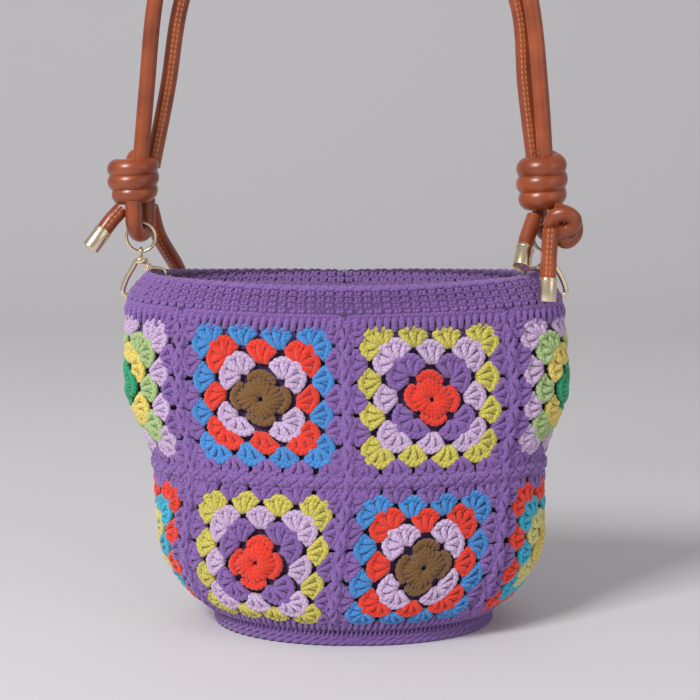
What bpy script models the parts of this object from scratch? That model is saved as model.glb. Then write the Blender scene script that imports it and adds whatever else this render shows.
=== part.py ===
# Crochet bucket bag of twelve granny squares, with a knotted leather cord strap on two snap hooks.
# Metres, +Z up, the front faces -Y, origin at the centre of the base on the floor.

import math

import bmesh
import bpy
from mathutils import Matrix, Vector

# Crochet body
SQUARE_SIDE = 0.080
SQUARES_ROUND = 6
SQUARE_ROWS = 2
ROUNDS = 5
CENTRE_HALF = 0.0128
SEAM_GAP = 0.0006
WALL = 0.0046
GROOVE_LEVEL = 0.0026
EDGE_LEVEL = 0.0012
CLUSTER_RAISE = 0.0022
CLUSTER_DIP = 0.0012

# Half width and half depth of the wall's outer face, from the base up to the mouth
FOOT_HALF_WIDTH = 0.0690
FOOT_HALF_DEPTH = 0.0500
HEEL_HALF_WIDTH = 0.0858
HEEL_HALF_DEPTH = 0.0575
BELLY_HALF_WIDTH = 0.0985
BELLY_HALF_DEPTH = 0.0550
SEAM_HALF_WIDTH = 0.0990
SEAM_HALF_DEPTH = 0.0500
CHEST_HALF_WIDTH = 0.1120
CHEST_HALF_DEPTH = 0.0395
SHOULDER_HALF_WIDTH = 0.1090
SHOULDER_HALF_DEPTH = 0.0365
MOUTH_HALF_WIDTH = 0.0975
MOUTH_HALF_DEPTH = 0.0420
HEEL_SHARE = 0.22
BELLY_SHARE = 0.55
LEAN = -0.0050
FOOT_TWIST = -0.026
HANG_STRETCH = 1.025
END_LIFT = 0.0040

# Rim, base and lining
RIM_RISE = 0.0165
RIM_WALL = 0.0044
RIM_ROUNDS = 5
RIM_GROOVE = 0.0009
BASE_HEIGHT = 0.0068
BASE_FLOOR = 0.0030
BASE_LIP = 0.0015
BASE_ROUNDS = 3
BASE_GROOVE = 0.0008
LINING_THICKNESS = 0.0009
LINING_DEPTH = 0.0070
LINING_TOP_DROP = 0.0070
SEAM_CORD_RADIUS = 0.0011
FIT = 0.0003
SIDES = 40

# Leather cord
CORD_RADIUS = 0.0040
CORD_PITCH = 0.018
TAIL_PITCH = 0.006
LOOP_RADIUS = 0.0080
LOOP_DROP = 0.0015
TAIL_FACE_DROP = 0.0022
KNOT_RADIUS = 0.0125
KNOT_WRAPS = 3
KNOT_TOP = 0.0410
KNOT_FEET = {"left": 0.0148, "right": 0.0108}
KNOT_SHIFT = -0.0033
HITCH_RADIUS = 0.0058
CAP_LENGTH = 0.0115
CAP_WALL = 0.0005
CAP_CLEARANCE = 0.00025
CAP_GRIP = 0.0098

# Gold ring and snap hook
RING_RADIUS = 0.0072
RING_WIRE = 0.00075
EYE_RADIUS = 0.0021
EYE_WIRE = 0.00065
EYE_DROP = 0.0002
SHANK_RADIUS = 0.0009
SHANK_CLEARANCE = 0.00025
COLLAR_RADIUS = 0.0033
COLLAR_HEIGHT = 0.0026
SHANK_HEAD_RADIUS = 0.0014
SHANK_HEAD_HEIGHT = 0.0009
HOOK_WIRE = 0.0011
HOOK_RISE = 0.0030
HOOK_TOP = 0.0190
HOOK_TOP_SHIFT = 0.0043
HOOK_HOLE_RADIUS = 0.0025
NOSE_SHIFT = 0.0180
GATE_WIRE = 0.0009
PIVOT_DROP = 0.0046
PIVOT_SHIFT = 0.0036
PIVOT_BARREL_RADIUS = 0.0014
PIVOT_BARREL_LENGTH = 0.0012
PIVOT_GAP = 0.0003
EAR_THICKNESS = 0.0008
RIVET_RADIUS = 0.0006
RIVET_CLEARANCE = 0.0002
RIVET_HEAD_RADIUS = 0.0012
RIVET_HEAD_HEIGHT = 0.0005
SPRING_WIRE = 0.0005

for stale in list(bpy.data.objects):
    bpy.data.objects.remove(stale)
bag_parts = bpy.data.collections.new("crochet_bucket_bag")
cutters = bpy.data.collections.new("cutters")
bpy.context.scene.collection.children.link(bag_parts)
bpy.context.scene.collection.children.link(cutters)


def make_material(name, colour, roughness, metallic=0.0):
    material = bpy.data.materials.new(name)
    material.use_nodes = True
    shader = material.node_tree.nodes["Principled BSDF"]
    shader.inputs["Base Color"].default_value = (*colour, 1.0)
    shader.inputs["Roughness"].default_value = roughness
    shader.inputs["Metallic"].default_value = metallic
    return material


PURPLE = make_material("purple_cotton", (0.22, 0.11, 0.38), 0.9)
LILAC = make_material("lilac_cotton", (0.62, 0.50, 0.68), 0.9)
BLUE = make_material("blue_cotton", (0.06, 0.30, 0.68), 0.9)
YELLOW = make_material("yellow_cotton", (0.72, 0.62, 0.20), 0.9)
RED = make_material("red_cotton", (0.75, 0.06, 0.02), 0.9)
CREAM = make_material("cream_lining", (0.80, 0.72, 0.60), 0.8)
LEATHER = make_material("tan_leather", (0.32, 0.08, 0.02), 0.4)
GOLD = make_material("pale_gold", (0.80, 0.66, 0.42), 0.25, 1.0)


# Shape of the wall


def wall_levels():
    """Rise along the wall, half width and half depth at each named level."""
    top_of_squares = SQUARE_ROWS * SQUARE_SIDE
    return [
        (0.0, FOOT_HALF_WIDTH, FOOT_HALF_DEPTH),
        (HEEL_SHARE * SQUARE_SIDE, HEEL_HALF_WIDTH, HEEL_HALF_DEPTH),
        (BELLY_SHARE * SQUARE_SIDE, BELLY_HALF_WIDTH, BELLY_HALF_DEPTH),
        (SQUARE_SIDE, SEAM_HALF_WIDTH, SEAM_HALF_DEPTH),
        (top_of_squares - SQUARE_SIDE / 2, CHEST_HALF_WIDTH, CHEST_HALF_DEPTH),
        (top_of_squares, SHOULDER_HALF_WIDTH, SHOULDER_HALF_DEPTH),
        (top_of_squares + RIM_RISE, MOUTH_HALF_WIDTH, MOUTH_HALF_DEPTH),
    ]


def wall_heights(levels):
    """Height of each level, so that the wall's length is its rise, a little stretched by hanging."""
    heights = [BASE_HEIGHT]
    for low, high in zip(levels, levels[1:]):
        rise = high[0] - low[0]
        spread = ((high[1] - low[1]) ** 2 + (high[2] - low[2]) ** 2) / 2
        climb = math.sqrt(max(rise * rise - spread, 0.1 * rise * rise))
        heights.append(heights[-1] + HANG_STRETCH * climb)
    return heights


LEVELS = wall_levels()
HEIGHTS = wall_heights(LEVELS)


def smooth_through(places, values, place):
    """A smooth curve through the named values, by cubic pieces with limited slopes."""
    count = len(places)
    steps = [(values[i + 1] - values[i]) / (places[i + 1] - places[i]) for i in range(count - 1)]
    slopes = [steps[0]]
    for before, after in zip(steps, steps[1:]):
        slopes.append(0.0 if before * after <= 0 else 2 * before * after / (before + after))
    slopes.append(steps[-1])
    index = 0
    while index < count - 2 and place > places[index + 1]:
        index += 1
    width = places[index + 1] - places[index]
    t = (place - places[index]) / width
    return (
        (2 * t**3 - 3 * t**2 + 1) * values[index]
        + (t**3 - 2 * t**2 + t) * width * slopes[index]
        + (3 * t**2 - 2 * t**3) * values[index + 1]
        + (t**3 - t**2) * width * slopes[index + 1]
    )


def wall_section(rise):
    """Height, half width and half depth of the wall's outer face at a rise."""
    places = [level[0] for level in LEVELS]
    return (
        smooth_through(places, HEIGHTS, rise),
        smooth_through(places, [level[1] for level in LEVELS], rise),
        smooth_through(places, [level[2] for level in LEVELS], rise),
    )


def oval_angle(turn, half_width, half_depth, pieces=180):
    """Angle on an oval where a share of its length, from the front towards +X, is reached."""
    turn = turn % 1.0
    lengths = [0.0]
    for index in range(pieces):
        middle = 2 * math.pi * (index + 0.5) / pieces
        lengths.append(
            lengths[-1] + math.hypot(half_width * math.cos(middle), half_depth * math.sin(middle))
        )
    wanted = turn * lengths[-1]
    low, high = 0, pieces
    while high - low > 1:
        middle = (low + high) // 2
        low, high = (middle, high) if lengths[middle] <= wanted else (low, middle)
    part = (wanted - lengths[low]) / (lengths[high] - lengths[low])
    return 2 * math.pi * (low + part) / pieces


def outer_point(angle, rise):
    height, half_width, half_depth = wall_section(rise)
    lean = LEAN * height / HEIGHTS[-1]
    # The strap draws the two ends of the mouth upwards
    lift = END_LIFT * max(0.0, rise / LEVELS[-1][0]) ** 1.5 * math.sin(angle) ** 2
    return Vector((half_width * math.sin(angle) + lean, -half_depth * math.cos(angle), height + lift))


def wall_point(angle, rise, depth):
    """The point at a depth under the wall's outer face."""
    if depth == 0:
        return outer_point(angle, rise)
    small = 0.0005
    across = outer_point(angle + 0.01, rise) - outer_point(angle - 0.01, rise)
    upward = outer_point(angle, rise + small) - outer_point(angle, rise - small)
    outward = across.cross(upward).normalized()
    return outer_point(angle, rise) - outward * depth


def turned_point(turn, rise, depth):
    """The same, for a share of the way round, with the lower row's twist."""
    twist = FOOT_TWIST * max(0.0, 1 - rise / SQUARE_SIDE)
    height, half_width, half_depth = wall_section(rise)
    return wall_point(oval_angle(turn + twist, half_width, half_depth), rise, depth)


# Making objects


def finish_mesh(name, mesh_data, material):
    bmesh.ops.recalc_face_normals(mesh_data, faces=mesh_data.faces)
    if mesh_data.calc_volume(signed=True) < 0:
        bmesh.ops.reverse_faces(mesh_data, faces=mesh_data.faces)
    mesh = bpy.data.meshes.new(name)
    mesh_data.to_mesh(mesh)
    mesh_data.free()
    mesh.materials.append(material)
    mesh.shade_smooth()
    mesh.set_sharp_from_angle(angle=math.radians(50))
    part = bpy.data.objects.new(name, mesh)
    bag_parts.objects.link(part)
    return part


def loft(name, rings, closed_profile, material):
    """Skin between rings of equal count: round a closed profile, or from one flat end to the other."""
    mesh_data = bmesh.new()
    rows = [[mesh_data.verts.new(point) for point in ring] for ring in rings]
    pairs = list(zip(rows, rows[1:]))
    if closed_profile:
        pairs.append((rows[-1], rows[0]))
    else:
        mesh_data.faces.new(rows[0])
        mesh_data.faces.new(rows[-1])
    for row, following in pairs:
        for index in range(len(row)):
            after = (index + 1) % len(row)
            mesh_data.faces.new((row[index], row[after], following[after], following[index]))
    return finish_mesh(name, mesh_data, material)


def tube(name, points, radius, material, cyclic=False, resolution=2):
    """A round bar along a row of points, with filled ends."""
    curve = bpy.data.curves.new(name, "CURVE")
    curve.dimensions = "3D"
    curve.bevel_depth = radius
    curve.bevel_resolution = resolution
    curve.use_fill_caps = not cyclic
    spline = curve.splines.new("POLY")
    spline.points.add(len(points) - 1)
    for spline_point, point in zip(spline.points, points):
        spline_point.co = (*point, 1.0)
    spline.use_cyclic_u = cyclic
    curve.materials.append(material)
    part = bpy.data.objects.new(name, curve)
    bag_parts.objects.link(part)
    return part


def meshed(part):
    """Turn a curve object into a welded mesh object, so that it can be cut or joined."""
    bpy.context.view_layer.update()
    graph = bpy.context.evaluated_depsgraph_get()
    mesh = bpy.data.meshes.new_from_object(part.evaluated_get(graph))
    mesh_data = bmesh.new()
    mesh_data.from_mesh(mesh)
    bmesh.ops.remove_doubles(mesh_data, verts=mesh_data.verts, dist=0.00001)
    bmesh.ops.recalc_face_normals(mesh_data, faces=mesh_data.faces)
    mesh_data.to_mesh(mesh)
    mesh_data.free()
    name = part.name
    matrix = part.matrix_world.copy()
    bpy.data.objects.remove(part)
    solid = bpy.data.objects.new(name, mesh)
    solid.matrix_world = matrix
    bag_parts.objects.link(solid)
    return solid


def cylinder(name, start, end, radius, material, vertices=12):
    """A straight round bar between two points."""
    axis = end - start
    mesh_data = bmesh.new()
    bmesh.ops.create_cone(
        mesh_data, cap_ends=True, segments=vertices, radius1=radius, radius2=radius, depth=axis.length
    )
    turn = axis.to_track_quat("Z", "Y").to_matrix().to_4x4()
    place = Matrix.Translation((start + end) / 2) @ turn
    bmesh.ops.transform(mesh_data, matrix=place, verts=mesh_data.verts)
    return finish_mesh(name, mesh_data, material)


def turned(name, profile, steps, material, place):
    """A turned shape from a profile at +X that runs down its outer side, set in place by a matrix."""
    mesh = bpy.data.meshes.new(name)
    edges = [(index, index + 1) for index in range(len(profile) - 1)]
    mesh.from_pydata([(radius, 0.0, height) for radius, height in profile], edges, [])
    mesh.materials.append(material)
    part = bpy.data.objects.new(name, mesh)
    bag_parts.objects.link(part)
    screw = part.modifiers.new("turn", "SCREW")
    screw.steps = steps
    screw.render_steps = steps
    screw.use_merge_vertices = True
    screw.merge_threshold = 0.00001
    screw.use_smooth_shade = True
    part.matrix_world = place
    return part


def torus(name, centre, normal, radius, wire, material, steps=18, sides=6):
    """A round ring, built as a closed bar."""
    turn = normal.to_track_quat("Z", "Y")
    mesh_data = bmesh.new()
    rows = []
    for step in range(steps):
        angle = 2 * math.pi * step / steps
        row = []
        for side in range(sides):
            section = 2 * math.pi * side / sides
            reach = radius + wire * math.cos(section)
            local = Vector((reach * math.cos(angle), reach * math.sin(angle), wire * math.sin(section)))
            row.append(mesh_data.verts.new(centre + turn @ local))
        rows.append(row)
    for step in range(steps):
        row, following = rows[step], rows[(step + 1) % steps]
        for side in range(sides):
            after = (side + 1) % sides
            mesh_data.faces.new((row[side], row[after], following[after], following[side]))
    return finish_mesh(name, mesh_data, material)


def boolean(part, other, operation):
    modifier = part.modifiers.new(operation.lower(), "BOOLEAN")
    modifier.operation = operation
    modifier.object = other
    modifier.solver = "EXACT"
    other.hide_render = True
    other.display_type = "WIRE"
    bag_parts.objects.unlink(other)
    cutters.objects.link(other)


def smooth_route(route, pitch):
    """Points at an even pitch along a smooth curve through the route's own points."""
    ends = [2 * route[0] - route[1], *route, 2 * route[-1] - route[-2]]
    fine = []
    for index in range(1, len(ends) - 2):
        before, start, end, after = ends[index - 1 : index + 3]
        for step in range(16):
            t = step / 16
            fine.append(
                0.5
                * (
                    2 * start
                    + (end - before) * t
                    + (2 * before - 5 * start + 4 * end - after) * t**2
                    + (3 * start - before - 3 * end + after) * t**3
                )
            )
    fine.append(route[-1])
    lengths = [0.0]
    for start, end in zip(fine, fine[1:]):
        lengths.append(lengths[-1] + (end - start).length)
    count = max(2, round(lengths[-1] / pitch))
    points = []
    index = 0
    for step in range(count + 1):
        wanted = lengths[-1] * step / count
        while index < len(fine) - 2 and lengths[index + 1] < wanted:
            index += 1
        share = (wanted - lengths[index]) / (lengths[index + 1] - lengths[index])
        points.append(fine[index].lerp(fine[index + 1], share))
    return points


# Granny squares


def round_half(number):
    """Half the side of a crochet round; the last one ends at the seam gap."""
    outer = (SQUARE_SIDE - SEAM_GAP) / 2
    return CENTRE_HALF + (number - 1) * (outer - CENTRE_HALF) / (ROUNDS - 1)


def side_place(side, along, out):
    """Turn a place on the top side of a square to its right, bottom or left side."""
    turned_sides = [(along, out), (out, -along), (-along, -out), (-out, along)]
    return turned_sides[side % 4]


def granny_square(name, column, row, material):
    """One square: rounds of raised clusters, each cluster's foot between two of the round inside."""
    mesh_data = bmesh.new()
    known = {}

    def vertex(across, up, level):
        key = (round(across, 6), round(up, 6), round(level, 6))
        if key not in known:
            known[key] = mesh_data.verts.new((across, up, level))
        return known[key]

    def foot(number, side, index):
        """A low point between two clusters on the outer edge of a round."""
        last = number == ROUNDS
        half = round_half(number) - (0 if last else CLUSTER_DIP)
        along = half * (2 * index / number - 1)
        return vertex(*side_place(side, along, half), EDGE_LEVEL if last else GROOVE_LEVEL)

    def crown(number, side, index):
        """The outer middle of a cluster."""
        last = number == ROUNDS
        half = round_half(number) + (0 if last else CLUSTER_DIP)
        along = half * (2 * (index + 0.5) / number - 1)
        return vertex(*side_place(side, along, half), EDGE_LEVEL if last else GROOVE_LEVEL)

    clusters = []
    centre = vertex(0.0, 0.0, GROOVE_LEVEL)
    for side in range(4):
        clusters.append([centre, foot(1, side, 0), crown(1, side, 0), foot(1, side, 1)])
        for number in range(2, ROUNDS + 1):
            for index in range(number):
                loop = []
                if index > 0:
                    loop.append(crown(number - 1, side, index - 1))
                loop.append(foot(number - 1, side, index))
                if index < number - 1:
                    loop.append(crown(number - 1, side, index))
                loop.append(foot(number, side, index + 1))
                loop.append(crown(number, side, index))
                loop.append(foot(number, side, index))
                clusters.append(loop)
    faces = [mesh_data.faces.new(loop) for loop in clusters]
    bmesh.ops.recalc_face_normals(mesh_data, faces=faces)
    if faces[0].normal.z < 0:
        bmesh.ops.reverse_faces(mesh_data, faces=faces)
    bmesh.ops.poke(mesh_data, faces=faces, offset=CLUSTER_RAISE, center_mode="MEAN")

    half = round_half(ROUNDS)
    rim_places = []
    for side in range(4):
        for index in range(2 * ROUNDS):
            rim_places.append(side_place(side, half * (index / ROUNDS - 1), half))
    count = len(rim_places)
    for index in range(count):
        start, end = rim_places[index], rim_places[(index + 1) % count]
        quad = [
            vertex(*start, EDGE_LEVEL),
            vertex(*end, EDGE_LEVEL),
            vertex(*end, 0.0),
            vertex(*start, 0.0),
        ]
        mesh_data.faces.new(quad)
    columns = 2 * ROUNDS
    back_rows = ROUNDS
    for index in range(columns):
        left = half * (2 * index / columns - 1)
        right = half * (2 * (index + 1) / columns - 1)
        for number in range(back_rows):
            low = half * (2 * number / back_rows - 1)
            high = half * (2 * (number + 1) / back_rows - 1)
            middle = (low + high) / 2
            loop = [vertex(left, low, 0.0), vertex(right, low, 0.0)]
            if index == columns - 1:
                loop.append(vertex(right, middle, 0.0))
            loop += [vertex(right, high, 0.0), vertex(left, high, 0.0)]
            if index == 0:
                loop.append(vertex(left, middle, 0.0))
            mesh_data.faces.new(loop)
    bmesh.ops.triangulate(mesh_data, faces=[face for face in mesh_data.faces if len(face.verts) > 4])
    for corner in mesh_data.verts:
        across, up, level = corner.co
        turn = (column + 0.5 + across / SQUARE_SIDE) / SQUARES_ROUND
        rise = (row + 0.5) * SQUARE_SIDE + up
        corner.co = turned_point(turn, rise, WALL - level)
    return finish_mesh(name, mesh_data, material)


ROW_NAMES = ["lower", "upper"]
SQUARE_NAMES = ["front_right", "right", "back_right", "back_left", "left", "front_left"]
LOWER_COLOURS = [BLUE, RED, YELLOW, BLUE, RED, YELLOW]
UPPER_COLOURS = [YELLOW, LILAC, BLUE, YELLOW, LILAC, BLUE]
for column, place_name in enumerate(SQUARE_NAMES):
    granny_square("lower_square_" + place_name, column, 0, LOWER_COLOURS[column])
    granny_square("upper_square_" + place_name, column, 1, UPPER_COLOURS[column])


# Rim, base, lining and seams


def wall_ring(rise, depth):
    return [wall_point(2 * math.pi * step / SIDES, rise, depth) for step in range(SIDES)]


def rim_band():
    """A band of ridged rounds above the squares."""
    foot_rise = SQUARE_ROWS * SQUARE_SIDE + SEAM_GAP / 2
    pitch = (RIM_RISE - SEAM_GAP / 2) / RIM_ROUNDS
    profile = []
    for number in range(RIM_ROUNDS):
        profile.append((foot_rise + pitch * number, RIM_GROOVE))
        profile.append((foot_rise + pitch * (number + 0.5), 0.0))
    top = foot_rise + pitch * RIM_ROUNDS
    profile += [(top, RIM_GROOVE), (top, RIM_WALL), (foot_rise + RIM_RISE / 2, RIM_WALL)]
    profile.append((foot_rise, RIM_WALL))
    return loft("rim_band", [wall_ring(rise, depth) for rise, depth in profile], True, PURPLE)


def floor_ring(share, reach, height):
    """An oval ring of the base: a share of its half sizes, with a reach beyond."""
    ring = []
    for step in range(SIDES):
        angle = 2 * math.pi * step / SIDES
        across = (FOOT_HALF_WIDTH + reach) * share * math.sin(angle)
        ring.append(Vector((across, -(FOOT_HALF_DEPTH + reach) * share * math.cos(angle), height)))
    return ring


def base_panel():
    """A flat oval of crochet rounds, with a band that stands up round it."""
    rings = []
    for number in range(BASE_ROUNDS):
        share = (number + 1) / (BASE_ROUNDS + 1)
        rings.append(floor_ring(share - 0.02, 0.0, 0.0))
        rings.append(floor_ring(share, 0.0, BASE_GROOVE))
        rings.append(floor_ring(share + 0.02, 0.0, 0.0))
    rings.append(floor_ring(1.0, BASE_LIP / 2, 0.0))
    rings.append(floor_ring(1.0, BASE_LIP, BASE_HEIGHT * 0.2))
    rings.append(floor_ring(1.0, BASE_LIP, BASE_HEIGHT * 0.85))
    rings.append(floor_ring(1.0, BASE_LIP / 2, BASE_HEIGHT))
    rings.append(floor_ring(0.94, 0.0, BASE_HEIGHT))
    rings.append(floor_ring(0.92, 0.0, BASE_FLOOR))
    return loft("base_panel", rings, False, PURPLE)


def lining():
    """A cloth cup inside the crochet, sewn in under the rim's edge."""
    top = SQUARE_ROWS * SQUARE_SIDE + RIM_RISE - LINING_TOP_DROP
    turn_out = SQUARE_ROWS * SQUARE_SIDE + SEAM_GAP
    shares = (0.14, 0.5, 1.0, 1.5, 1.75, 1.9)
    stations = [(SQUARE_SIDE * share, LINING_DEPTH) for share in shares]
    for share in (0.25, 0.5, 1.0):
        stations.append((turn_out + (top - turn_out) * share, RIM_WALL + 2 * FIT))
    outer = [wall_ring(rise, depth) for rise, depth in stations]
    inner = [wall_ring(rise, depth + LINING_THICKNESS) for rise, depth in reversed(stations)]
    floor_height = BASE_FLOOR + FIT
    bottom = floor_ring(0.9, -LINING_DEPTH, floor_height)
    inside = floor_ring(0.88, -LINING_DEPTH, floor_height + LINING_THICKNESS)
    return loft("lining", [bottom, *outer, *inner, inside], False, CREAM)


def joining_seams():
    """Slip-stitched seams in the grooves between squares: six uprights, row by row, and a girdle."""
    depth = WALL - EDGE_LEVEL - SEAM_CORD_RADIUS - 3 * FIT
    steps = 60
    girdle = [
        wall_point(2 * math.pi * step / steps, SQUARE_SIDE, depth) for step in range(steps)
    ]
    tube("seam_girdle", girdle, SEAM_CORD_RADIUS, PURPLE, cyclic=True, resolution=0)
    clear = 2 * SEAM_CORD_RADIUS + 2 * FIT
    for row in range(SQUARE_ROWS):
        for column in range(SQUARES_ROUND):
            points = []
            for step in range(11):
                rise = row * SQUARE_SIDE + clear + (SQUARE_SIDE - 2 * clear) * step / 10
                points.append(turned_point(column / SQUARES_ROUND, rise, depth))
            name = f"{ROW_NAMES[row]}_seam_{column + 1}"
            tube(name, points, SEAM_CORD_RADIUS, PURPLE, resolution=0)


band = rim_band()
base_panel()
inner_cup = lining()
joining_seams()


# Snap hooks, rings and swivels


HOOK_LEVEL = SQUARE_ROWS * SQUARE_SIDE + HOOK_RISE
WALL_MIDDLES = {
    "right": wall_point(math.pi / 2, HOOK_LEVEL, RIM_WALL / 2),
    "left": wall_point(-math.pi / 2, HOOK_LEVEL, RIM_WALL / 2),
}


def hook_place(side, inward, depth, up):
    """A place by its distance inward from the wall, towards the back, and above the hook's bend."""
    direction = -1 if side == "right" else 1
    return WALL_MIDDLES[side] + Vector((direction * inward, depth, up))


def snap_hook(side):
    """The collar, two ears and the wire that passes through the rim, as one casting."""
    collar_low = HOOK_TOP - COLLAR_HEIGHT
    hook = cylinder(
        side + "_hook",
        hook_place(side, HOOK_TOP_SHIFT, 0, collar_low),
        hook_place(side, HOOK_TOP_SHIFT, 0, HOOK_TOP),
        COLLAR_RADIUS,
        GOLD,
    )
    pivot_in = HOOK_TOP_SHIFT + PIVOT_SHIFT
    pivot_up = HOOK_TOP - PIVOT_DROP
    gap = PIVOT_BARREL_LENGTH / 2 + PIVOT_GAP + SPRING_WIRE / 2
    for sign in (-1, 1):
        ear = cylinder(
            f"{side}_ear_{sign}",
            hook_place(side, pivot_in, sign * gap, pivot_up),
            hook_place(side, pivot_in, sign * (gap + EAR_THICKNESS), pivot_up),
            PIVOT_BARREL_RADIUS + 0.0005,
            GOLD,
        )
        arm = tube(
            f"{side}_arm_{sign}",
            [
                hook_place(side, pivot_in, sign * (gap + EAR_THICKNESS / 2), pivot_up + 0.0002),
                hook_place(side, HOOK_TOP_SHIFT + 0.0012, sign * 0.0014, collar_low + 0.0011),
            ],
            EAR_THICKNESS * 0.48,
            GOLD,
            resolution=1,
        )
        boolean(hook, ear, "UNION")
        boolean(hook, meshed(arm), "UNION")
    path = [
        hook_place(side, HOOK_TOP_SHIFT - 0.0026, 0, collar_low + 0.0012),
        hook_place(side, HOOK_TOP_SHIFT - 0.0040, 0, collar_low - 0.0018),
        hook_place(side, -0.0030, 0, 0.0090),
        hook_place(side, -0.0052, 0, 0.0028),
        hook_place(side, -0.0038, 0, 0.0004),
        hook_place(side, 0.0, 0, 0.0),
        hook_place(side, 0.0066, 0, 0.0002),
        hook_place(side, 0.0125, 0, 0.0020),
        hook_place(side, NOSE_SHIFT, 0, 0.0060),
        hook_place(side, NOSE_SHIFT, 0, 0.0105),
    ]
    boolean(hook, meshed(tube(side + "_wire", smooth_route(path, 0.0022), HOOK_WIRE, GOLD)), "UNION")
    bore = cylinder(
        side + "_collar_bore",
        hook_place(side, HOOK_TOP_SHIFT, 0, collar_low - 0.002),
        hook_place(side, HOOK_TOP_SHIFT, 0, HOOK_TOP + 0.002),
        SHANK_RADIUS + SHANK_CLEARANCE,
        GOLD,
    )
    boolean(hook, bore, "DIFFERENCE")
    pin_bore = cylinder(
        side + "_pin_bore",
        hook_place(side, pivot_in, -0.006, pivot_up),
        hook_place(side, pivot_in, 0.006, pivot_up),
        RIVET_RADIUS + RIVET_CLEARANCE,
        GOLD,
    )
    boolean(hook, pin_bore, "DIFFERENCE")
    return hook


def snap_gate(side):
    """The spring gate: a barrel on the rivet and a bar down to the inner side of the hook's nose."""
    pivot_in = HOOK_TOP_SHIFT + PIVOT_SHIFT
    pivot_up = HOOK_TOP - PIVOT_DROP
    half = PIVOT_BARREL_LENGTH / 2
    shift = SPRING_WIRE / 2
    gate = cylinder(
        side + "_gate",
        hook_place(side, pivot_in, shift - half, pivot_up),
        hook_place(side, pivot_in, shift + half, pivot_up),
        PIVOT_BARREL_RADIUS,
        GOLD,
    )
    bar = tube(
        side + "_gate_bar",
        [
            hook_place(side, pivot_in + 0.0009, shift, pivot_up - 0.0002),
            hook_place(side, NOSE_SHIFT - 0.0027, shift, 0.0130),
            hook_place(side, NOSE_SHIFT - HOOK_WIRE - GATE_WIRE - FIT, shift, 0.0090),
        ],
        min(GATE_WIRE, half * 0.98),
        GOLD,
    )
    boolean(gate, meshed(bar), "UNION")
    bore = cylinder(
        side + "_gate_bore",
        hook_place(side, pivot_in, -0.004, pivot_up),
        hook_place(side, pivot_in, 0.004, pivot_up),
        RIVET_RADIUS + RIVET_CLEARANCE,
        GOLD,
    )
    boolean(gate, bore, "DIFFERENCE")
    return gate


def pivot_pieces(side):
    """The rivet through the ears, and the spring coil beside the gate's barrel."""
    pivot_in = HOOK_TOP_SHIFT + PIVOT_SHIFT
    pivot_up = HOOK_TOP - PIVOT_DROP
    reach = PIVOT_BARREL_LENGTH / 2 + PIVOT_GAP + SPRING_WIRE / 2 + EAR_THICKNESS + FIT / 2
    head = RIVET_HEAD_HEIGHT
    profile = [
        (0.0, reach + head),
        (RIVET_HEAD_RADIUS * 0.7, reach + head),
        (RIVET_HEAD_RADIUS, reach),
        (RIVET_RADIUS, reach),
        (RIVET_RADIUS, -reach),
        (RIVET_HEAD_RADIUS, -reach),
        (RIVET_HEAD_RADIUS * 0.7, -reach - head),
        (0.0, -reach - head),
    ]
    centre = hook_place(side, pivot_in, 0, pivot_up)
    lay = Matrix.Rotation(math.radians(90), 4, "X")
    turned(side + "_rivet", profile, 8, GOLD, Matrix.Translation(centre) @ lay)
    coil_depth = -PIVOT_BARREL_LENGTH / 2 - PIVOT_GAP / 4
    torus(
        side + "_gate_spring",
        hook_place(side, pivot_in, coil_depth, pivot_up),
        Vector((0, 1, 0)),
        RIVET_RADIUS + SPRING_WIRE / 2 + FIT / 2,
        SPRING_WIRE * 0.45,
        GOLD,
        10,
        5,
    )


def ring_centre(side):
    eye_height = HOOK_TOP + EYE_RADIUS + EYE_WIRE + FIT
    return hook_place(side, HOOK_TOP_SHIFT, 0, eye_height + EYE_DROP + RING_RADIUS)


def ring_and_swivel(side):
    """The ring that the leather passes through, and the eye that turns in the hook's collar."""
    centre = ring_centre(side)
    torus(side + "_ring", centre, Vector((0, 1, 0)), RING_RADIUS, RING_WIRE, GOLD, 22, 7)
    eye_centre = centre - Vector((0, 0, RING_RADIUS + EYE_DROP))
    eye = torus(side + "_swivel", eye_centre, Vector((1, 0, 0)), EYE_RADIUS, EYE_WIRE, GOLD, 14, 6)
    head_top = hook_place(side, HOOK_TOP_SHIFT, 0, HOOK_TOP - COLLAR_HEIGHT - FIT)
    shank = cylinder(
        side + "_shank",
        head_top - Vector((0, 0, SHANK_HEAD_HEIGHT / 2)),
        eye_centre - Vector((0, 0, EYE_RADIUS)),
        SHANK_RADIUS,
        GOLD,
    )
    head = cylinder(
        side + "_shank_head",
        head_top - Vector((0, 0, SHANK_HEAD_HEIGHT)),
        head_top,
        SHANK_HEAD_RADIUS,
        GOLD,
    )
    boolean(eye, shank, "UNION")
    boolean(eye, head, "UNION")


for side in ("left", "right"):
    snap_hook(side)
    snap_gate(side)
    pivot_pieces(side)
    ring_and_swivel(side)
    for pierced in (band, inner_cup):
        hole = cylinder(
            f"{side}_{pierced.name}_hole",
            hook_place(side, -0.012, 0, 0),
            hook_place(side, 0.012, 0, 0),
            HOOK_HOLE_RADIUS,
            PURPLE,
        )
        boolean(pierced, hole, "DIFFERENCE")


# Leather cord strap


def by_ring(side, across, depth, up):
    return ring_centre(side) + Vector((across, depth, up))


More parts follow.
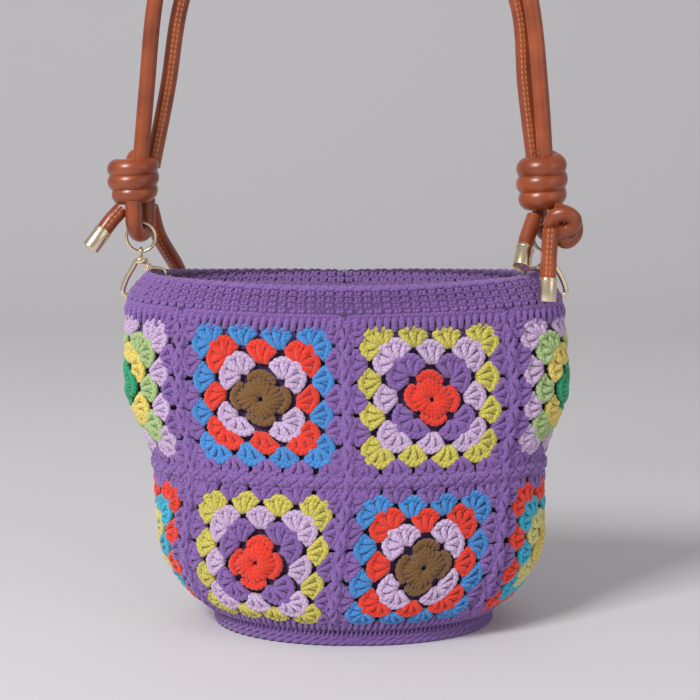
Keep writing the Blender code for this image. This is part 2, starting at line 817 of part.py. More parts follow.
def knot(side):
    """Three wraps of cord pulled tight round the strap, as one solid outline."""
    knot_height = KNOT_TOP - KNOT_FEET[side]
    pitch = knot_height / KNOT_WRAPS
    profile = [(0.0, knot_height), (KNOT_RADIUS - CORD_RADIUS, knot_height)]
    for number in reversed(range(KNOT_WRAPS)):
        radius = KNOT_RADIUS * (0.84 if number == 0 else 1.0)
        for angle in (60, 20, -20, -60):
            bulge = CORD_RADIUS * math.cos(math.radians(angle))
            height = pitch * (number + 0.5) + pitch * 0.5 * math.sin(math.radians(angle))
            profile.append((radius - CORD_RADIUS + bulge, height))
    profile += [(KNOT_RADIUS * 0.84 - CORD_RADIUS, 0.0), (0.0, 0.0)]
    foot = by_ring(side, KNOT_SHIFT, 0, KNOT_FEET[side])
    turned(side + "_knot", profile, 16, LEATHER, Matrix.Translation(foot))


def ring_loop(side, turn_degrees):
    """The bight of cord that hangs in the ring, under the knot."""
    points = []
    for step in range(-6, 7):
        angle = math.radians(step * 15)
        points.append((LOOP_RADIUS * math.sin(angle), LOOP_RADIUS * (1 - math.cos(angle))))
    top = KNOT_FEET[side] - LOOP_DROP - FIT
    points = [(-LOOP_RADIUS, top), *points, (LOOP_RADIUS, top)]
    turn = math.radians(turn_degrees)
    route = [
        by_ring(side, away * math.sin(turn), away * math.cos(turn), LOOP_DROP + up)
        for away, up in points
    ]
    tube(side + "_ring_loop", route, CORD_RADIUS, LEATHER)


def tail(name, route):
    """A loose end of cord, whose last stretch runs straight into a metal cap."""
    points = smooth_route(route, TAIL_PITCH)
    mouth = points[-1]
    direction = (points[-1] - points[-2]).normalized()
    tube(name, [*points, mouth + direction * CAP_GRIP], CORD_RADIUS, LEATHER, resolution=3)
    outer = CORD_RADIUS + CAP_CLEARANCE + CAP_WALL
    bore = CORD_RADIUS + CAP_CLEARANCE
    # The profile runs down the cap's outer side and up its bore, which is open at the mouth
    profile = [
        (0.0, CAP_LENGTH),
        (outer * 0.9, CAP_LENGTH),
        (outer, CAP_LENGTH * 0.94),
        (outer, 0.0),
        (bore, 0.0),
        (bore, CAP_GRIP + FIT),
        (0.0, CAP_GRIP + FIT),
    ]
    turn = direction.to_track_quat("Z", "Y").to_matrix().to_4x4()
    turned(name + "_cap", profile, 14, GOLD, Matrix.Translation(mouth) @ turn)


def strap_cord(name, depth, left_across, right_across, arch):
    """One cord of the strap, from knot to knot; the arch gives shares of the span and rises."""
    knot_top = KNOT_TOP + 3 * FIT
    start = by_ring("left", left_across, depth, knot_top)
    end = by_ring("right", right_across, depth, knot_top)
    route = [start.lerp(end, share) + Vector((0, 0, rise)) for share, rise in arch]
    tube(name, smooth_route(route, CORD_PITCH), CORD_RADIUS, LEATHER)


for side in ("left", "right"):
    knot(side)
ring_loop("left", 20)
ring_loop("right", -25)
torus(
    "right_hitch",
    by_ring("right", 0.0053, -0.0154, 0.0066),
    Vector((0.10, 1, 0.05)),
    HITCH_RADIUS,
    CORD_RADIUS,
    LEATHER,
    16,
    10,
)
left_top = KNOT_FEET["left"] - TAIL_FACE_DROP - FIT
right_top = KNOT_FEET["right"] - TAIL_FACE_DROP - FIT
left_front = [(-0.0102, -0.0046, left_top + 0.0006), (-0.0137, -0.0066, 0.0090)]
left_front.append((-0.0174, -0.0084, 0.0040))
left_back = [(0.0040, 0.0150, left_top), (0.0070, 0.0205, -0.0010), (0.0138, 0.0325, -0.0160)]
left_back.append((0.0171, 0.0380, -0.0255))
right_inner = [(-0.0078, -0.0044, right_top + 0.0006), (-0.0110, -0.0092, 0.0010)]
right_inner.append((-0.0124, -0.0126, -0.0040))
right_front = [(-0.0012, -0.0228, 0.0039), (-0.0018, -0.0238, -0.0070), (-0.0022, -0.0248, -0.0180)]
for side, ending, places in (
    ("left", "front_tail", left_front),
    ("left", "back_tail", left_back),
    ("right", "inner_tail", right_inner),
    ("right", "front_tail", right_front),
):
    tail(f"{side}_{ending}", [by_ring(side, *place) for place in places])

OUTER_ARCH = [(0, 0), (0.020, 0.034), (0.042, 0.074), (0.090, 0.122), (0.215, 0.164), (0.50, 0.189)]
OUTER_ARCH += [(0.785, 0.164), (0.902, 0.122), (0.9595, 0.074), (0.984, 0.034), (1, 0)]
INNER_ARCH = [(0, 0), (0.044, 0.034), (0.080, 0.074), (0.155, 0.114), (0.300, 0.150), (0.50, 0.165)]
INNER_ARCH += [(0.700, 0.150), (0.855, 0.114), (0.9500, 0.074), (0.972, 0.034), (1, 0)]
strap_cord("strap_cord_front", -0.0044, 0.0006, -0.0020, OUTER_ARCH)
strap_cord("strap_cord_back", 0.0044, 0.0058, -0.0065, INNER_ARCH)
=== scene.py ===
# Crochet bucket bag: twelve granny squares, a crochet rim and base, a cream lining,
# and a knotted leather cord strap on two gold snap hooks.

import math

import bpy
import numpy as np
from mathutils import Matrix, Vector


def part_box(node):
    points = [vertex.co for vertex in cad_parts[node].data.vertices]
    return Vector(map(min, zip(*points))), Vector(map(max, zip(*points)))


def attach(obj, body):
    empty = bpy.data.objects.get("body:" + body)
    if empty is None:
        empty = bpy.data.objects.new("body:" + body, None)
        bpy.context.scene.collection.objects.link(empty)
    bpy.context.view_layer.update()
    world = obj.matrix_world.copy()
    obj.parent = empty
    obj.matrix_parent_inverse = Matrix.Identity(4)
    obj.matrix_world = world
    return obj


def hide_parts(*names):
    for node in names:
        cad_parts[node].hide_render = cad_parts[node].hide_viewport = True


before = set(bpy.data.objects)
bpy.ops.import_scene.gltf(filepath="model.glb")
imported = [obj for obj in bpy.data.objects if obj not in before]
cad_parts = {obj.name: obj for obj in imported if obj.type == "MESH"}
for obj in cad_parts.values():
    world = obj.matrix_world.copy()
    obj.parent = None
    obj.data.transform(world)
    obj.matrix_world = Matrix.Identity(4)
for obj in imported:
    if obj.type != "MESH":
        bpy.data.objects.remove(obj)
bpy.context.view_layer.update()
bpy.ops.object.select_all(action="DESELECT")


# Granny squares
# Twelve squares of thick cotton yarn, each worked from the middle outwards in five rounds.
# A round is made of clusters: three tall stitches that share one foot in a gap of the round inside.

SQUARE = 0.080
ROUNDS = 5
CENTRE_HALF = 0.0128
SEAM_GAP = 0.0006
WALL = 0.0046
LEAN = -0.0050
FOOT_TWIST = -0.026
HANG_STRETCH = 1.025
END_LIFT = 0.0040
BASE_HEIGHT = 0.0068
RIM_RISE = 0.0165
ANGLE_STEP = 0.01
RISE_STEP = 0.0005
GIRTH = 6 * SQUARE
BACK_START = 3 * SQUARE
BACK_END = 9 * SQUARE

# Rise along the wall, half width and half depth, from the base to the mouth
WALL_SHAPE = np.array(
    [
        (0.0, 0.0690, 0.0500),
        (0.22 * SQUARE, 0.0858, 0.0575),
        (0.55 * SQUARE, 0.0985, 0.0550),
        (SQUARE, 0.0990, 0.0500),
        (1.5 * SQUARE, 0.1120, 0.0395),
        (2.0 * SQUARE, 0.1090, 0.0365),
        (2.0 * SQUARE + RIM_RISE, 0.0975, 0.0420),
    ]
)
RISES = WALL_SHAPE[:, 0]
SPREADS = (np.diff(WALL_SHAPE[:, 1]) ** 2 + np.diff(WALL_SHAPE[:, 2]) ** 2) / 2
CLIMBS = np.sqrt(np.maximum(np.diff(RISES) ** 2 - SPREADS, 0.1 * np.diff(RISES) ** 2))
HEIGHTS = BASE_HEIGHT + HANG_STRETCH * np.concatenate([[0.0], np.cumsum(CLIMBS)])


def smooth_through(values, rise):
    """A smooth curve through the wall's levels, read at many rises."""
    steps = np.diff(values) / np.diff(RISES)
    before, after = steps[:-1], steps[1:]
    same_way = before * after > 0
    total = np.where(same_way, before + after, 1.0)
    middle = np.where(same_way, 2 * before * after / total, 0.0)
    slopes = np.concatenate([steps[:1], middle, steps[-1:]])
    index = np.clip(np.searchsorted(RISES, rise) - 1, 0, len(RISES) - 2)
    width = RISES[index + 1] - RISES[index]
    t = (rise - RISES[index]) / width
    return (
        (2 * t**3 - 3 * t**2 + 1) * values[index]
        + (t**3 - 2 * t**2 + t) * width * slopes[index]
        + (3 * t**2 - 2 * t**3) * values[index + 1]
        + (t**3 - t**2) * width * slopes[index + 1]
    )


def outer_face(angle, rise):
    """Points on the wall's outer face, at angles on its oval and rises along it."""
    height = smooth_through(HEIGHTS, rise)
    half_width = smooth_through(WALL_SHAPE[:, 1], rise)
    half_depth = smooth_through(WALL_SHAPE[:, 2], rise)
    across = half_width * np.sin(angle) + LEAN * height / HEIGHTS[-1]
    lift = END_LIFT * np.maximum(0.0, rise / RISES[-1]) ** 1.5 * np.sin(angle) ** 2
    return np.stack([across, -half_depth * np.cos(angle), height + lift], axis=-1)


# Angle on the oval where a share of its length is reached, for a row of rises
OVAL_STEPS = 720
TABLE_RISES = np.linspace(-0.012, 0.192, 103)
TABLE_TURNS = np.linspace(0.0, 1.0, OVAL_STEPS + 1)
table_middles = 2 * math.pi * (np.arange(OVAL_STEPS) + 0.5) / OVAL_STEPS
table_widths = smooth_through(WALL_SHAPE[:, 1], TABLE_RISES)[:, None] * np.cos(table_middles)
table_depths = smooth_through(WALL_SHAPE[:, 2], TABLE_RISES)[:, None] * np.sin(table_middles)
table_lengths = np.cumsum(np.hypot(table_widths, table_depths), axis=1)
TURN_ANGLES = np.array(
    [
        np.interp(TABLE_TURNS, np.concatenate([[0.0], row / row[-1]]), 2 * math.pi * TABLE_TURNS)
        for row in table_lengths
    ]
)


def on_wall(turn, rise, depth):
    """Points under the wall's outer face, at a share of the way round from the front seam."""
    turned = turn + FOOT_TWIST * np.maximum(0.0, 1 - rise / SQUARE)
    share = np.mod(turned, 1.0) * (len(TABLE_TURNS) - 1)
    level = (rise - TABLE_RISES[0]) / (TABLE_RISES[1] - TABLE_RISES[0])
    column = np.clip(share.astype(int), 0, len(TABLE_TURNS) - 2)
    row = np.clip(level.astype(int), 0, len(TABLE_RISES) - 2)
    u, v = share - column, level - row
    low = TURN_ANGLES[row, column] * (1 - u) + TURN_ANGLES[row, column + 1] * u
    high = TURN_ANGLES[row + 1, column] * (1 - u) + TURN_ANGLES[row + 1, column + 1] * u
    angle = low * (1 - v) + high * v
    across = outer_face(angle + ANGLE_STEP, rise) - outer_face(angle - ANGLE_STEP, rise)
    upward = outer_face(angle, rise + RISE_STEP) - outer_face(angle, rise - RISE_STEP)
    outward = np.cross(across, upward)
    outward /= np.linalg.norm(outward, axis=-1, keepdims=True)
    return outer_face(angle, rise) - outward * depth[..., None]


def around_bag(points):
    """Bend flat work round the bag: along the girth, up the wall, and out from its inner face."""
    turn = points[..., 0] / GIRTH
    return on_wall(turn, points[..., 1], WALL - points[..., 2])


def corner_uvs(left, right, low, high):
    """The UVs of each face's four corners, in the order of its points."""
    corners = [(left, low), (right, low), (right, high), (left, high)]
    return np.stack([np.stack(corner, axis=-1) for corner in corners], axis=-2).reshape(-1, 2)


def yarn_tubes(paths, radius, sides=6):
    """Round strands of yarn that narrow at their ends, along paths of equal step counts."""
    paths = np.asarray(paths, dtype=float)
    count, steps = paths.shape[:2]
    along = np.gradient(paths, axis=1)
    along /= np.linalg.norm(along, axis=2, keepdims=True)
    up = np.array([0.0, 0.0, 1.0])
    sideways = np.cross(along, up)
    sideways /= np.linalg.norm(sideways, axis=2, keepdims=True) + 1e-9
    over = np.cross(sideways, along)
    share = np.linspace(-1.0, 1.0, steps)
    width = radius * np.sqrt(np.maximum(1.0 - share**12, 0.02))
    turn = 2 * math.pi * np.arange(sides) / sides
    ring = (
        np.cos(turn)[None, None, :, None] * sideways[:, :, None, :]
        + np.sin(turn)[None, None, :, None] * over[:, :, None, :]
    )
    points = paths[:, :, None, :] + ring * width[None, :, None, None]
    number = np.arange(count * steps * sides).reshape(count, steps, sides)
    following = np.roll(number, -1, axis=2)
    quads = np.stack(
        [number[:, :-1], following[:, :-1], following[:, 1:], number[:, 1:]], axis=-1
    ).reshape(-1, 4)
    length = np.zeros((count, steps))
    length[:, 1:] = np.cumsum(np.linalg.norm(np.diff(paths, axis=1), axis=2), axis=1)
    low = np.broadcast_to(length[:, :-1, None], (count, steps - 1, sides))
    high = np.broadcast_to(length[:, 1:, None], (count, steps - 1, sides))
    left = np.broadcast_to(np.arange(sides) / sides, (count, steps - 1, sides))
    right = left + 1.0 / sides
    return points.reshape(-1, 3), quads, corner_uvs(left, right, low, high)


def joined(batches):
    """Several sets of points, faces, UVs and colours as one."""
    points, _, uvs, colours = zip(*batches)
    bases = np.cumsum([0] + [len(batch_points) for batch_points in points])
    quads = [batch[1] + base for batch, base in zip(batches, bases)]
    return np.concatenate(points), np.concatenate(quads), np.concatenate(uvs), np.concatenate(colours)


def new_object(name, data):
    """An object in the scene from a mesh, a lamp or a camera."""
    made = bpy.data.objects.new(name, data)
    bpy.context.scene.collection.objects.link(made)
    return made


def worked_piece(name, batches):
    """One mesh object of yarn, with a colour for every point, painted shade included where the caller
    darkened it.
    """
    points, quads, uvs, colours = joined(batches)
    mesh = bpy.data.meshes.new(name)
    mesh.from_pydata(points.tolist(), [], quads.tolist())
    mesh.uv_layers.new(name="strand").data.foreach_set("uv", uvs.ravel())
    shades = mesh.color_attributes.new("yarn_colour_and_painted_shade", "FLOAT_COLOR", "POINT")
    full = np.concatenate([colours, np.ones((len(colours), 1))], axis=1)
    shades.data.foreach_set("color", full.ravel())
    mesh.materials.append(yarn)
    mesh.shade_smooth()
    return new_object(name, mesh)


def linear(red, green, blue):
    """A colour on the 0 to 255 scale, as light."""
    values = np.array([red, green, blue]) / 255
    return np.where(values <= 0.04045, values / 12.92, ((values + 0.055) / 1.055) ** 2.4)


PURPLE = linear(134, 94, 168)
LILAC = linear(206, 178, 214)
BLUE = linear(62, 142, 212)
SCARLET = linear(236, 52, 26)
BROWN = linear(122, 82, 34)
ACID_YELLOW = linear(208, 196, 84)
LIGHT_GREEN = linear(170, 196, 130)
WARM_YELLOW = linear(228, 205, 100)
EMERALD = linear(10, 160, 108)
TURQUOISE = linear(44, 176, 206)
PALE_YELLOW = linear(214, 206, 130)


def new_finish(name):
    """A material with its nodes, its links and its shader."""
    material = bpy.data.materials.new(name)
    material.use_nodes = True
    tree = material.node_tree
    return material, tree.nodes, tree.links, tree.nodes["Principled BSDF"]


def math_step(material, kind, *values):
    """A step of arithmetic on plain values and sockets."""
    step = material.node_tree.nodes.new("ShaderNodeMath")
    step.operation = kind
    for socket, value in zip(step.inputs, values):
        if isinstance(value, (int, float)):
            socket.default_value = value
        else:
            material.node_tree.links.new(value, socket)
    return step.outputs[0]


PLY_PITCH = 0.0016
PLIES = 3
yarn, nodes, links, shader = new_finish("cotton_yarn")
shader.inputs["Roughness"].default_value = 0.88
shader.inputs["Sheen Weight"].default_value = 0.35
shader.inputs["Sheen Roughness"].default_value = 0.6
shader.inputs["Specular IOR Level"].default_value = 0.2
colour = nodes.new("ShaderNodeAttribute")
colour.attribute_name = "yarn_colour_and_painted_shade"
strand = nodes.new("ShaderNodeUVMap")
strand.uv_map = "strand"
apart = nodes.new("ShaderNodeSeparateXYZ")
links.new(strand.outputs["UV"], apart.inputs[0])
# Plies run round the strand as they go along it
round_turns = math_step(yarn, "MULTIPLY", apart.outputs["X"], 2 * math.pi * PLIES)
turns = math_step(yarn, "MULTIPLY_ADD", apart.outputs["Y"], 2 * math.pi / PLY_PITCH, round_turns)
ply = math_step(yarn, "SINE", turns)
place = nodes.new("ShaderNodeTexCoord")
fuzz = nodes.new("ShaderNodeTexNoise")
fuzz.inputs["Scale"].default_value = 1400
fuzz.inputs["Detail"].default_value = 3
links.new(place.outputs["Object"], fuzz.inputs["Vector"])
relief = math_step(yarn, "MULTIPLY_ADD", ply, 0.35, fuzz.outputs["Fac"])
bump = nodes.new("ShaderNodeBump")
bump.inputs["Strength"].default_value = 0.75
bump.inputs["Distance"].default_value = 0.0003
links.new(relief, bump.inputs["Height"])
links.new(bump.outputs["Normal"], shader.inputs["Normal"])
# Painted shade and highlight: the colour darkens in the grooves between plies and brightens a little on
# their crowns.
painted_ply_shade = nodes.new("ShaderNodeMapRange")
painted_ply_shade.inputs["From Min"].default_value = -1.0
painted_ply_shade.inputs["From Max"].default_value = 1.0
painted_ply_shade.inputs["To Min"].default_value = 0.80
painted_ply_shade.inputs["To Max"].default_value = 1.06
links.new(ply, painted_ply_shade.inputs["Value"])
shaded = nodes.new("ShaderNodeVectorMath")
shaded.operation = "SCALE"
links.new(colour.outputs["Color"], shaded.inputs[0])
links.new(painted_ply_shade.outputs["Result"], shaded.inputs["Scale"])
links.new(shaded.outputs["Vector"], shader.inputs["Base Color"])

# Levels are heights over the wall's inner face
chance = np.random.default_rng(12)
YARN = 0.00140
STITCH_LEVEL = 0.0014
STITCH_CROWN = 0.0024
STRAND_OFFSET = 0.00118
STRAND_ROLL = 0.00055
LOOP_LEVEL = 0.0036
LOOP_SWING = 0.00075
LOOP_ROLL = 0.0005
LOOP_OVERHANG = 0.0018
LOOP_DROP = 0.0036
FAN_FOOT = 0.0010
BACKING_LEVEL = 0.0007
BACKING_STEPS = 13
EDGE_POSTS = 22
WANDER = 0.0009


def tall_stitch(foot, top, sideways, lift=0.0):
    """Two strands that lie side by side and cross once: the body of one tall stitch."""
    t = np.linspace(0.0, 1.0, 9)[:, None]
    middle = foot + (top - foot) * t
    crown = STITCH_CROWN * np.sin(math.pi * (0.06 + 0.84 * t[:, 0])) ** 0.8
    strands = []
    for half in (0.0, math.pi):
        turn = half + 0.5 + 2.6 * t[:, 0]
        flat = middle + STRAND_OFFSET * np.cos(turn)[:, None] * sideways
        level = STITCH_LEVEL + lift + crown + STRAND_ROLL * np.sin(turn)
        strands.append(np.concatenate([flat, level[:, None]], axis=1))
    return strands


def top_loops(start, end, bulge, periods):
    """The two strands that wind along the top of a row of stitches."""
    t = np.linspace(0.0, 1.0, 6 * periods + 1)[:, None]
    outward = bulge / np.linalg.norm(bulge)
    strands = []
    for half in (0.0, math.pi):
        wave = half + 2 * math.pi * periods * t
        arc = 4 * t * (1 - t)
        flat = start + (end - start) * t + bulge * arc + outward * LOOP_SWING * np.sin(wave)
        strands.append(np.concatenate([flat, LOOP_LEVEL + LOOP_ROLL * np.cos(wave)], axis=1))
    return strands


def square_side(side, along, out):
    """A place along one side of a flat square and out from its middle."""
    return np.array([(along, out), (out, -along), (-along, -out), (-out, along)][side])


def round_half(number):
    """Half the width of a round's outer edge."""
    outer = (SQUARE - SEAM_GAP) / 2
    return CENTRE_HALF + (number - 1) * (outer - CENTRE_HALF) / (ROUNDS - 1)


def cluster(number, side, index):
    """Paths of one cluster: tall stitches fanned from one foot, under a looped top."""
    half = round_half(number)
    reach = half - (0.0020 if number == ROUNDS else 0.0008)
    middle_along = half * (2 * (index + 0.5) / number - 1)
    if number == 1:
        fan, half_top, drop = (-1, -0.5, 0, 0.5, 1), 0.0048, 0.0042
        foot_along, foot_out = 0.0, 0.0010
    else:
        fan, half_top, drop = (-1, 0, 1), 0.0053, 0.0020
        inner = round_half(number - 1)
        at_corner = index in (0, number - 1)
        foot_along = (inner - (0.0030 if at_corner else 0.0)) * (2 * index / (number - 1) - 1)
        foot_out = inner - (0.0026 if at_corner else 0.0034)
    foot_along += chance.uniform(-0.0006, 0.0006)
    middle_along += chance.uniform(-0.0007, 0.0007)
    reach += chance.uniform(-0.0005, 0.0004)
    posts = []
    sideways = square_side(side, 1.0, 0.0)
    for post in fan:
        foot = square_side(side, foot_along + FAN_FOOT * post, foot_out)
        top = square_side(side, middle_along + half_top * post, reach - drop * abs(post))
        posts += tall_stitch(foot, top, sideways)
    start = square_side(side, middle_along - half_top - LOOP_OVERHANG, reach - LOOP_DROP)
    end = square_side(side, middle_along + half_top + LOOP_OVERHANG, reach - LOOP_DROP)
    return posts, top_loops(start, end, square_side(side, 0.0, 0.0038), 3)


def edge_posts(side):
    """The last round along the rim or the base: upright stitches side by side."""
    inner, outer = round_half(ROUNDS - 1), round_half(ROUNDS)
    posts = []
    sideways = square_side(side, 0.70, 0.0)
    for index in range(EDGE_POSTS):
        along = outer * (2 * (index + 0.5) / EDGE_POSTS - 1)
        foot = square_side(side, along - 0.0016, inner - 0.0030 + 0.0010 * (index % 2))
        top = square_side(side, along + 0.0014, outer - 0.0004)
        posts += tall_stitch(foot, top, sideways, 0.0004)
    start, end = square_side(side, -outer, outer - 0.0006), square_side(side, outer, outer - 0.0006)
    return posts, top_loops(start, end, square_side(side, 0.0, 0.0001), EDGE_POSTS)


def shade_backing_sheet():
    """A purple sheet behind the clusters, kept dark as painted shade seen through the gaps between them.
    """
    places = np.linspace(-round_half(ROUNDS), round_half(ROUNDS), BACKING_STEPS)
    across, up = np.meshgrid(places, places, indexing="ij")
    points = np.stack([across.ravel(), up.ravel(), np.full(across.size, BACKING_LEVEL)], axis=1)
    number = np.arange(across.size).reshape(across.shape)
    quads = np.stack(
        [number[:-1, :-1], number[1:, :-1], number[1:, 1:], number[:-1, 1:]], axis=-1
    ).reshape(-1, 4)
    return points, quads, points[quads.ravel(), :2]


def painted_depth_shade(points):
    """Painted shade: yarn is darkened the deeper it lies in the work, and painted a little lighter at its
    top.
    """
    return np.interp(points[:, 2], [0.0008, 0.0022, 0.0044], [0.42, 0.80, 1.06])[:, None]


def hand_pull(flat):
    """A slow wander that uneven tension gives the rounds, none at the edges."""
    edge = (SQUARE - SEAM_GAP) / 2
    hold = np.prod(1 - np.minimum(1.0, np.abs(flat) / edge) ** 4, axis=1)
    turns = chance.uniform(0, 2 * math.pi, 4)
    across = np.sin(150 * flat[:, 1] + turns[0]) + 0.6 * np.sin(95 * flat[:, 0] + turns[1])
    up = np.sin(140 * flat[:, 0] + turns[2]) + 0.6 * np.sin(105 * flat[:, 1] + turns[3])
    return WANDER * hold[:, None] * np.stack([across, up], axis=1)


def granny_square(name, column, row, colours):
    """Lay one square out flat, round by round, then bend it to the bag."""
    batches = []
    for number in range(1, ROUNDS + 1):
        for side in range(4):
            edge = number == ROUNDS and ((row == 1 and side == 0) or (row == 0 and side == 2))
            if edge:
                groups = [edge_posts(side)]
            else:
                groups = [cluster(number, side, index) for index in range(number)]
            for posts, loops in groups:
                shade = colours[number - 1] * chance.uniform(0.92, 1.05)
                for paths, radius, sides in ((posts, YARN, 6), (loops, YARN * 0.92, 5)):
                    points, quads, uvs = yarn_tubes(paths, radius, sides)
                    batches.append((points, quads, uvs, np.tile(shade, (len(points), 1))))
    # Painted shade: a darkened purple sheet fills the gaps between clusters, where there is shadow.
    points, quads, uvs = shade_backing_sheet()
    batches.append((points, quads, uvs, np.tile(PURPLE * 0.85, (len(points), 1))))
    flat_points, quads, uvs, shades = joined(batches)
    # Painted shade: deep yarn and the backing sheet are darkened, and the top of the work is lightened a
    # little.
    shades = shades * painted_depth_shade(flat_points)
    flat_points[:, :2] += hand_pull(flat_points[:, :2])
    flat_points[:, 0] += (column + 0.5) * SQUARE
    flat_points[:, 1] += (row + 0.5) * SQUARE
    piece = worked_piece(name, [(around_bag(flat_points), quads, uvs, shades)])
    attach(piece, "bag")
    return piece


COLUMN_NAMES = ["front_right", "right", "back_right", "back_left", "left", "front_left"]
# Material slot and the rounds' colours, from the middle outwards
BROWN_SQUARE = ("blue_cotton", [BROWN, LILAC, SCARLET, BLUE, PURPLE])
RED_SQUARE = ("yellow_cotton", [SCARLET, PURPLE, LILAC, ACID_YELLOW, PURPLE])
GREEN_SQUARE = ("lilac_cotton", [EMERALD, WARM_YELLOW, LIGHT_GREEN, LILAC, PURPLE])
TURQUOISE_SQUARE = ("red_cotton", [WARM_YELLOW, PALE_YELLOW, TURQUOISE, SCARLET, PURPLE])
LOWER_SQUARES = [BROWN_SQUARE, TURQUOISE_SQUARE, RED_SQUARE] * 2
UPPER_SQUARES = [RED_SQUARE, GREEN_SQUARE, BROWN_SQUARE] * 2
for row, (row_name, squares) in enumerate((("lower", LOWER_SQUARES), ("upper", UPPER_SQUARES))):
    for column, (slot, colours) in enumerate(squares):
        node = f"{row_name}_square_{COLUMN_NAMES[column]}"
        square = granny_square(node + "_worked", column, row, colours)
        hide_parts(node)


# Joining seams
# The squares are joined edge to edge with slip stitches in the same purple yarn.
# Two pairs of strands wind along each join, upright between columns and once round.

SEAM_STITCHES = 22
GIRDLE_STITCHES = 132
SEAM_INSET = 0.0012
RIDGE_LEVEL = 0.0046
RIDGE_FOOT_LEVEL = 0.0030


def chain_ridge(start, end, count, level, width):
    """Two strands that wind along a join, flat."""
    t = np.linspace(0.0, 1.0, 7 * count + 1)[:, None]
    line = end - start
    across = np.array([-line[1], line[0]]) / np.linalg.norm(line)
    strands = []
    for half in (0.0, math.pi):
        wave = half + math.pi * count * t
        flat = start + line * t + across * width * np.cos(wave)
        height = level + 0.0006 * np.sin(2 * wave + half)
        strands.append(np.concatenate([flat, height], axis=1))
    return strands


def seam_ridge(start, end, count, narrow, wide):
    """A narrow pair of strands that lies over a wide pair."""
    over = chain_ridge(start, end, count, RIDGE_LEVEL, narrow)
    return over + chain_ridge(start, end, count, RIDGE_FOOT_LEVEL, wide)


def once_round(rise):
    """Ends of a flat line that starts and ends at the back of the bag."""
    return np.array([BACK_START, rise]), np.array([BACK_END, rise])


def bent_piece(name, paths, radius, shade):
    """Purple yarn laid flat along paths, then bent to the bag."""
    points, quads, uvs = yarn_tubes(paths, radius)
    # Painted shade: the lower strands of the seam are darkened and the upper ones lightened a little.
    point_colours = np.tile(shade, (len(points), 1)) * painted_depth_shade(points)
    piece = worked_piece(name, [(around_bag(points), quads, uvs, point_colours)])
    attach(piece, "bag")
    return piece


for column in range(6):
    start = np.array([column * SQUARE, SEAM_INSET])
    end = np.array([column * SQUARE, 2 * SQUARE - SEAM_INSET])
    ridge = seam_ridge(start, end, SEAM_STITCHES, 0.0015, 0.0034)
    seam = bent_piece(f"upright_seam_{column + 1}", ridge, 0.00140, PURPLE)
    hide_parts(f"lower_seam_{column + 1}", f"upper_seam_{column + 1}")
girdle_ridge = seam_ridge(*once_round(SQUARE), GIRDLE_STITCHES, 0.0014, 0.0032)
girdle = bent_piece("middle_seam", girdle_ridge, 0.00135, PURPLE)
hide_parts("seam_girdle")


# Rim
# Rounds of tight short stitches above the squares, worked in the round in purple yarn.
# Two chains lie along the top edge. The same rounds show inside and go on below the lining's top.

RIM_FOOT = 2 * SQUARE
RIM_ROUNDS = 4
RIM_STITCHES = 104
ROUND_RISE = 0.0036
CORE_STEPS = 121


def short_round(foot_rise, level_low, level_high, lean):
    """One round of short stitches: two legs that spread upwards, seen on one face of the rim."""
    t = np.linspace(0.0, 1.0, 6)
    pitch = GIRTH / RIM_STITCHES
    legs = []
    for index in range(RIM_STITCHES):
        middle = BACK_START + (index + 0.5) * pitch + chance.uniform(-0.0003, 0.0003)
        for way in (-1, 1):
            across = middle + way * (0.0003 + 0.0011 * t) + lean * t
            rise = foot_rise - 0.0006 + (ROUND_RISE - 0.0002) * t
            push = chance.uniform(-0.0003, 0.0003)
            level = level_low + (level_high - level_low) * np.sin(math.pi * (0.15 + 0.7 * t)) + push
            legs.append(np.stack([across, rise, level], axis=1))
    return legs


rim_batches = []
for outside, face_low, face_high, lean, lowest, chain_level in (
    (True, 0.0026, 0.0044, 0.0005, 0, 0.0040),
    (False, 0.0022, 0.0008, -0.0005, -5, 0.0010),
):
    for number in range(lowest, RIM_ROUNDS):
        foot_rise = RIM_FOOT + 0.0008 + ROUND_RISE * number
        legs = short_round(foot_rise, face_low, face_high, lean)
        points, quads, uvs = yarn_tubes(legs, 0.00118, 5)
        tone = PURPLE * chance.uniform(0.95, 1.03)
        point_colours = np.tile(tone, (len(points), 1))
        if outside:
            # Painted shade: the deeper yarn of the outer rim rounds is darkened.
            point_colours *= painted_depth_shade(points)
        rim_batches.append((around_bag(points), quads, uvs, point_colours))
        line = once_round(foot_rise + ROUND_RISE - 0.0006)
        ridge = chain_ridge(*line, RIM_STITCHES, chain_level, 0.0005)
        points, quads, uvs = yarn_tubes(ridge, 0.00095, 5)
        rim_batches.append((around_bag(points), quads, uvs, np.tile(tone, (len(points), 1))))
rim = worked_piece("rim_worked", rim_batches)
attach(rim, "bag")
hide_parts("rim_band")

edge_paths = []
for level in (0.0010, 0.0034):
    line = once_round(RIM_FOOT + RIM_RISE - 0.0018)
    edge_paths += chain_ridge(*line, RIM_STITCHES, level, 0.0007)
bent_piece("rim_edge_chain", edge_paths, 0.00125, PURPLE * 1.05)

# A plain band fills the rim behind its stitches, its purple darkened as painted shade
core_low, core_high = RIM_FOOT - 0.0040, RIM_FOOT + RIM_RISE - 0.0020
core_turns = np.linspace(BACK_START, BACK_END, CORE_STEPS)
core_rows = []
for rise, level in ((core_low, 0.0014), (core_low, 0.0036), (core_high, 0.0036), (core_high, 0.0014)):
    core_rows.append(np.stack([core_turns, np.full(CORE_STEPS, rise), np.full(CORE_STEPS, level)], axis=1))
core_flat = np.concatenate(core_rows)
core_number = np.arange(4 * CORE_STEPS).reshape(4, CORE_STEPS)
core_next = np.roll(core_number, -1, axis=0)
core_quads = np.stack(
    [core_number[:, :-1], core_number[:, 1:], core_next[:, 1:], core_next[:, :-1]], axis=-1
).reshape(-1, 4)
core_uvs = np.zeros((core_quads.size, 2))
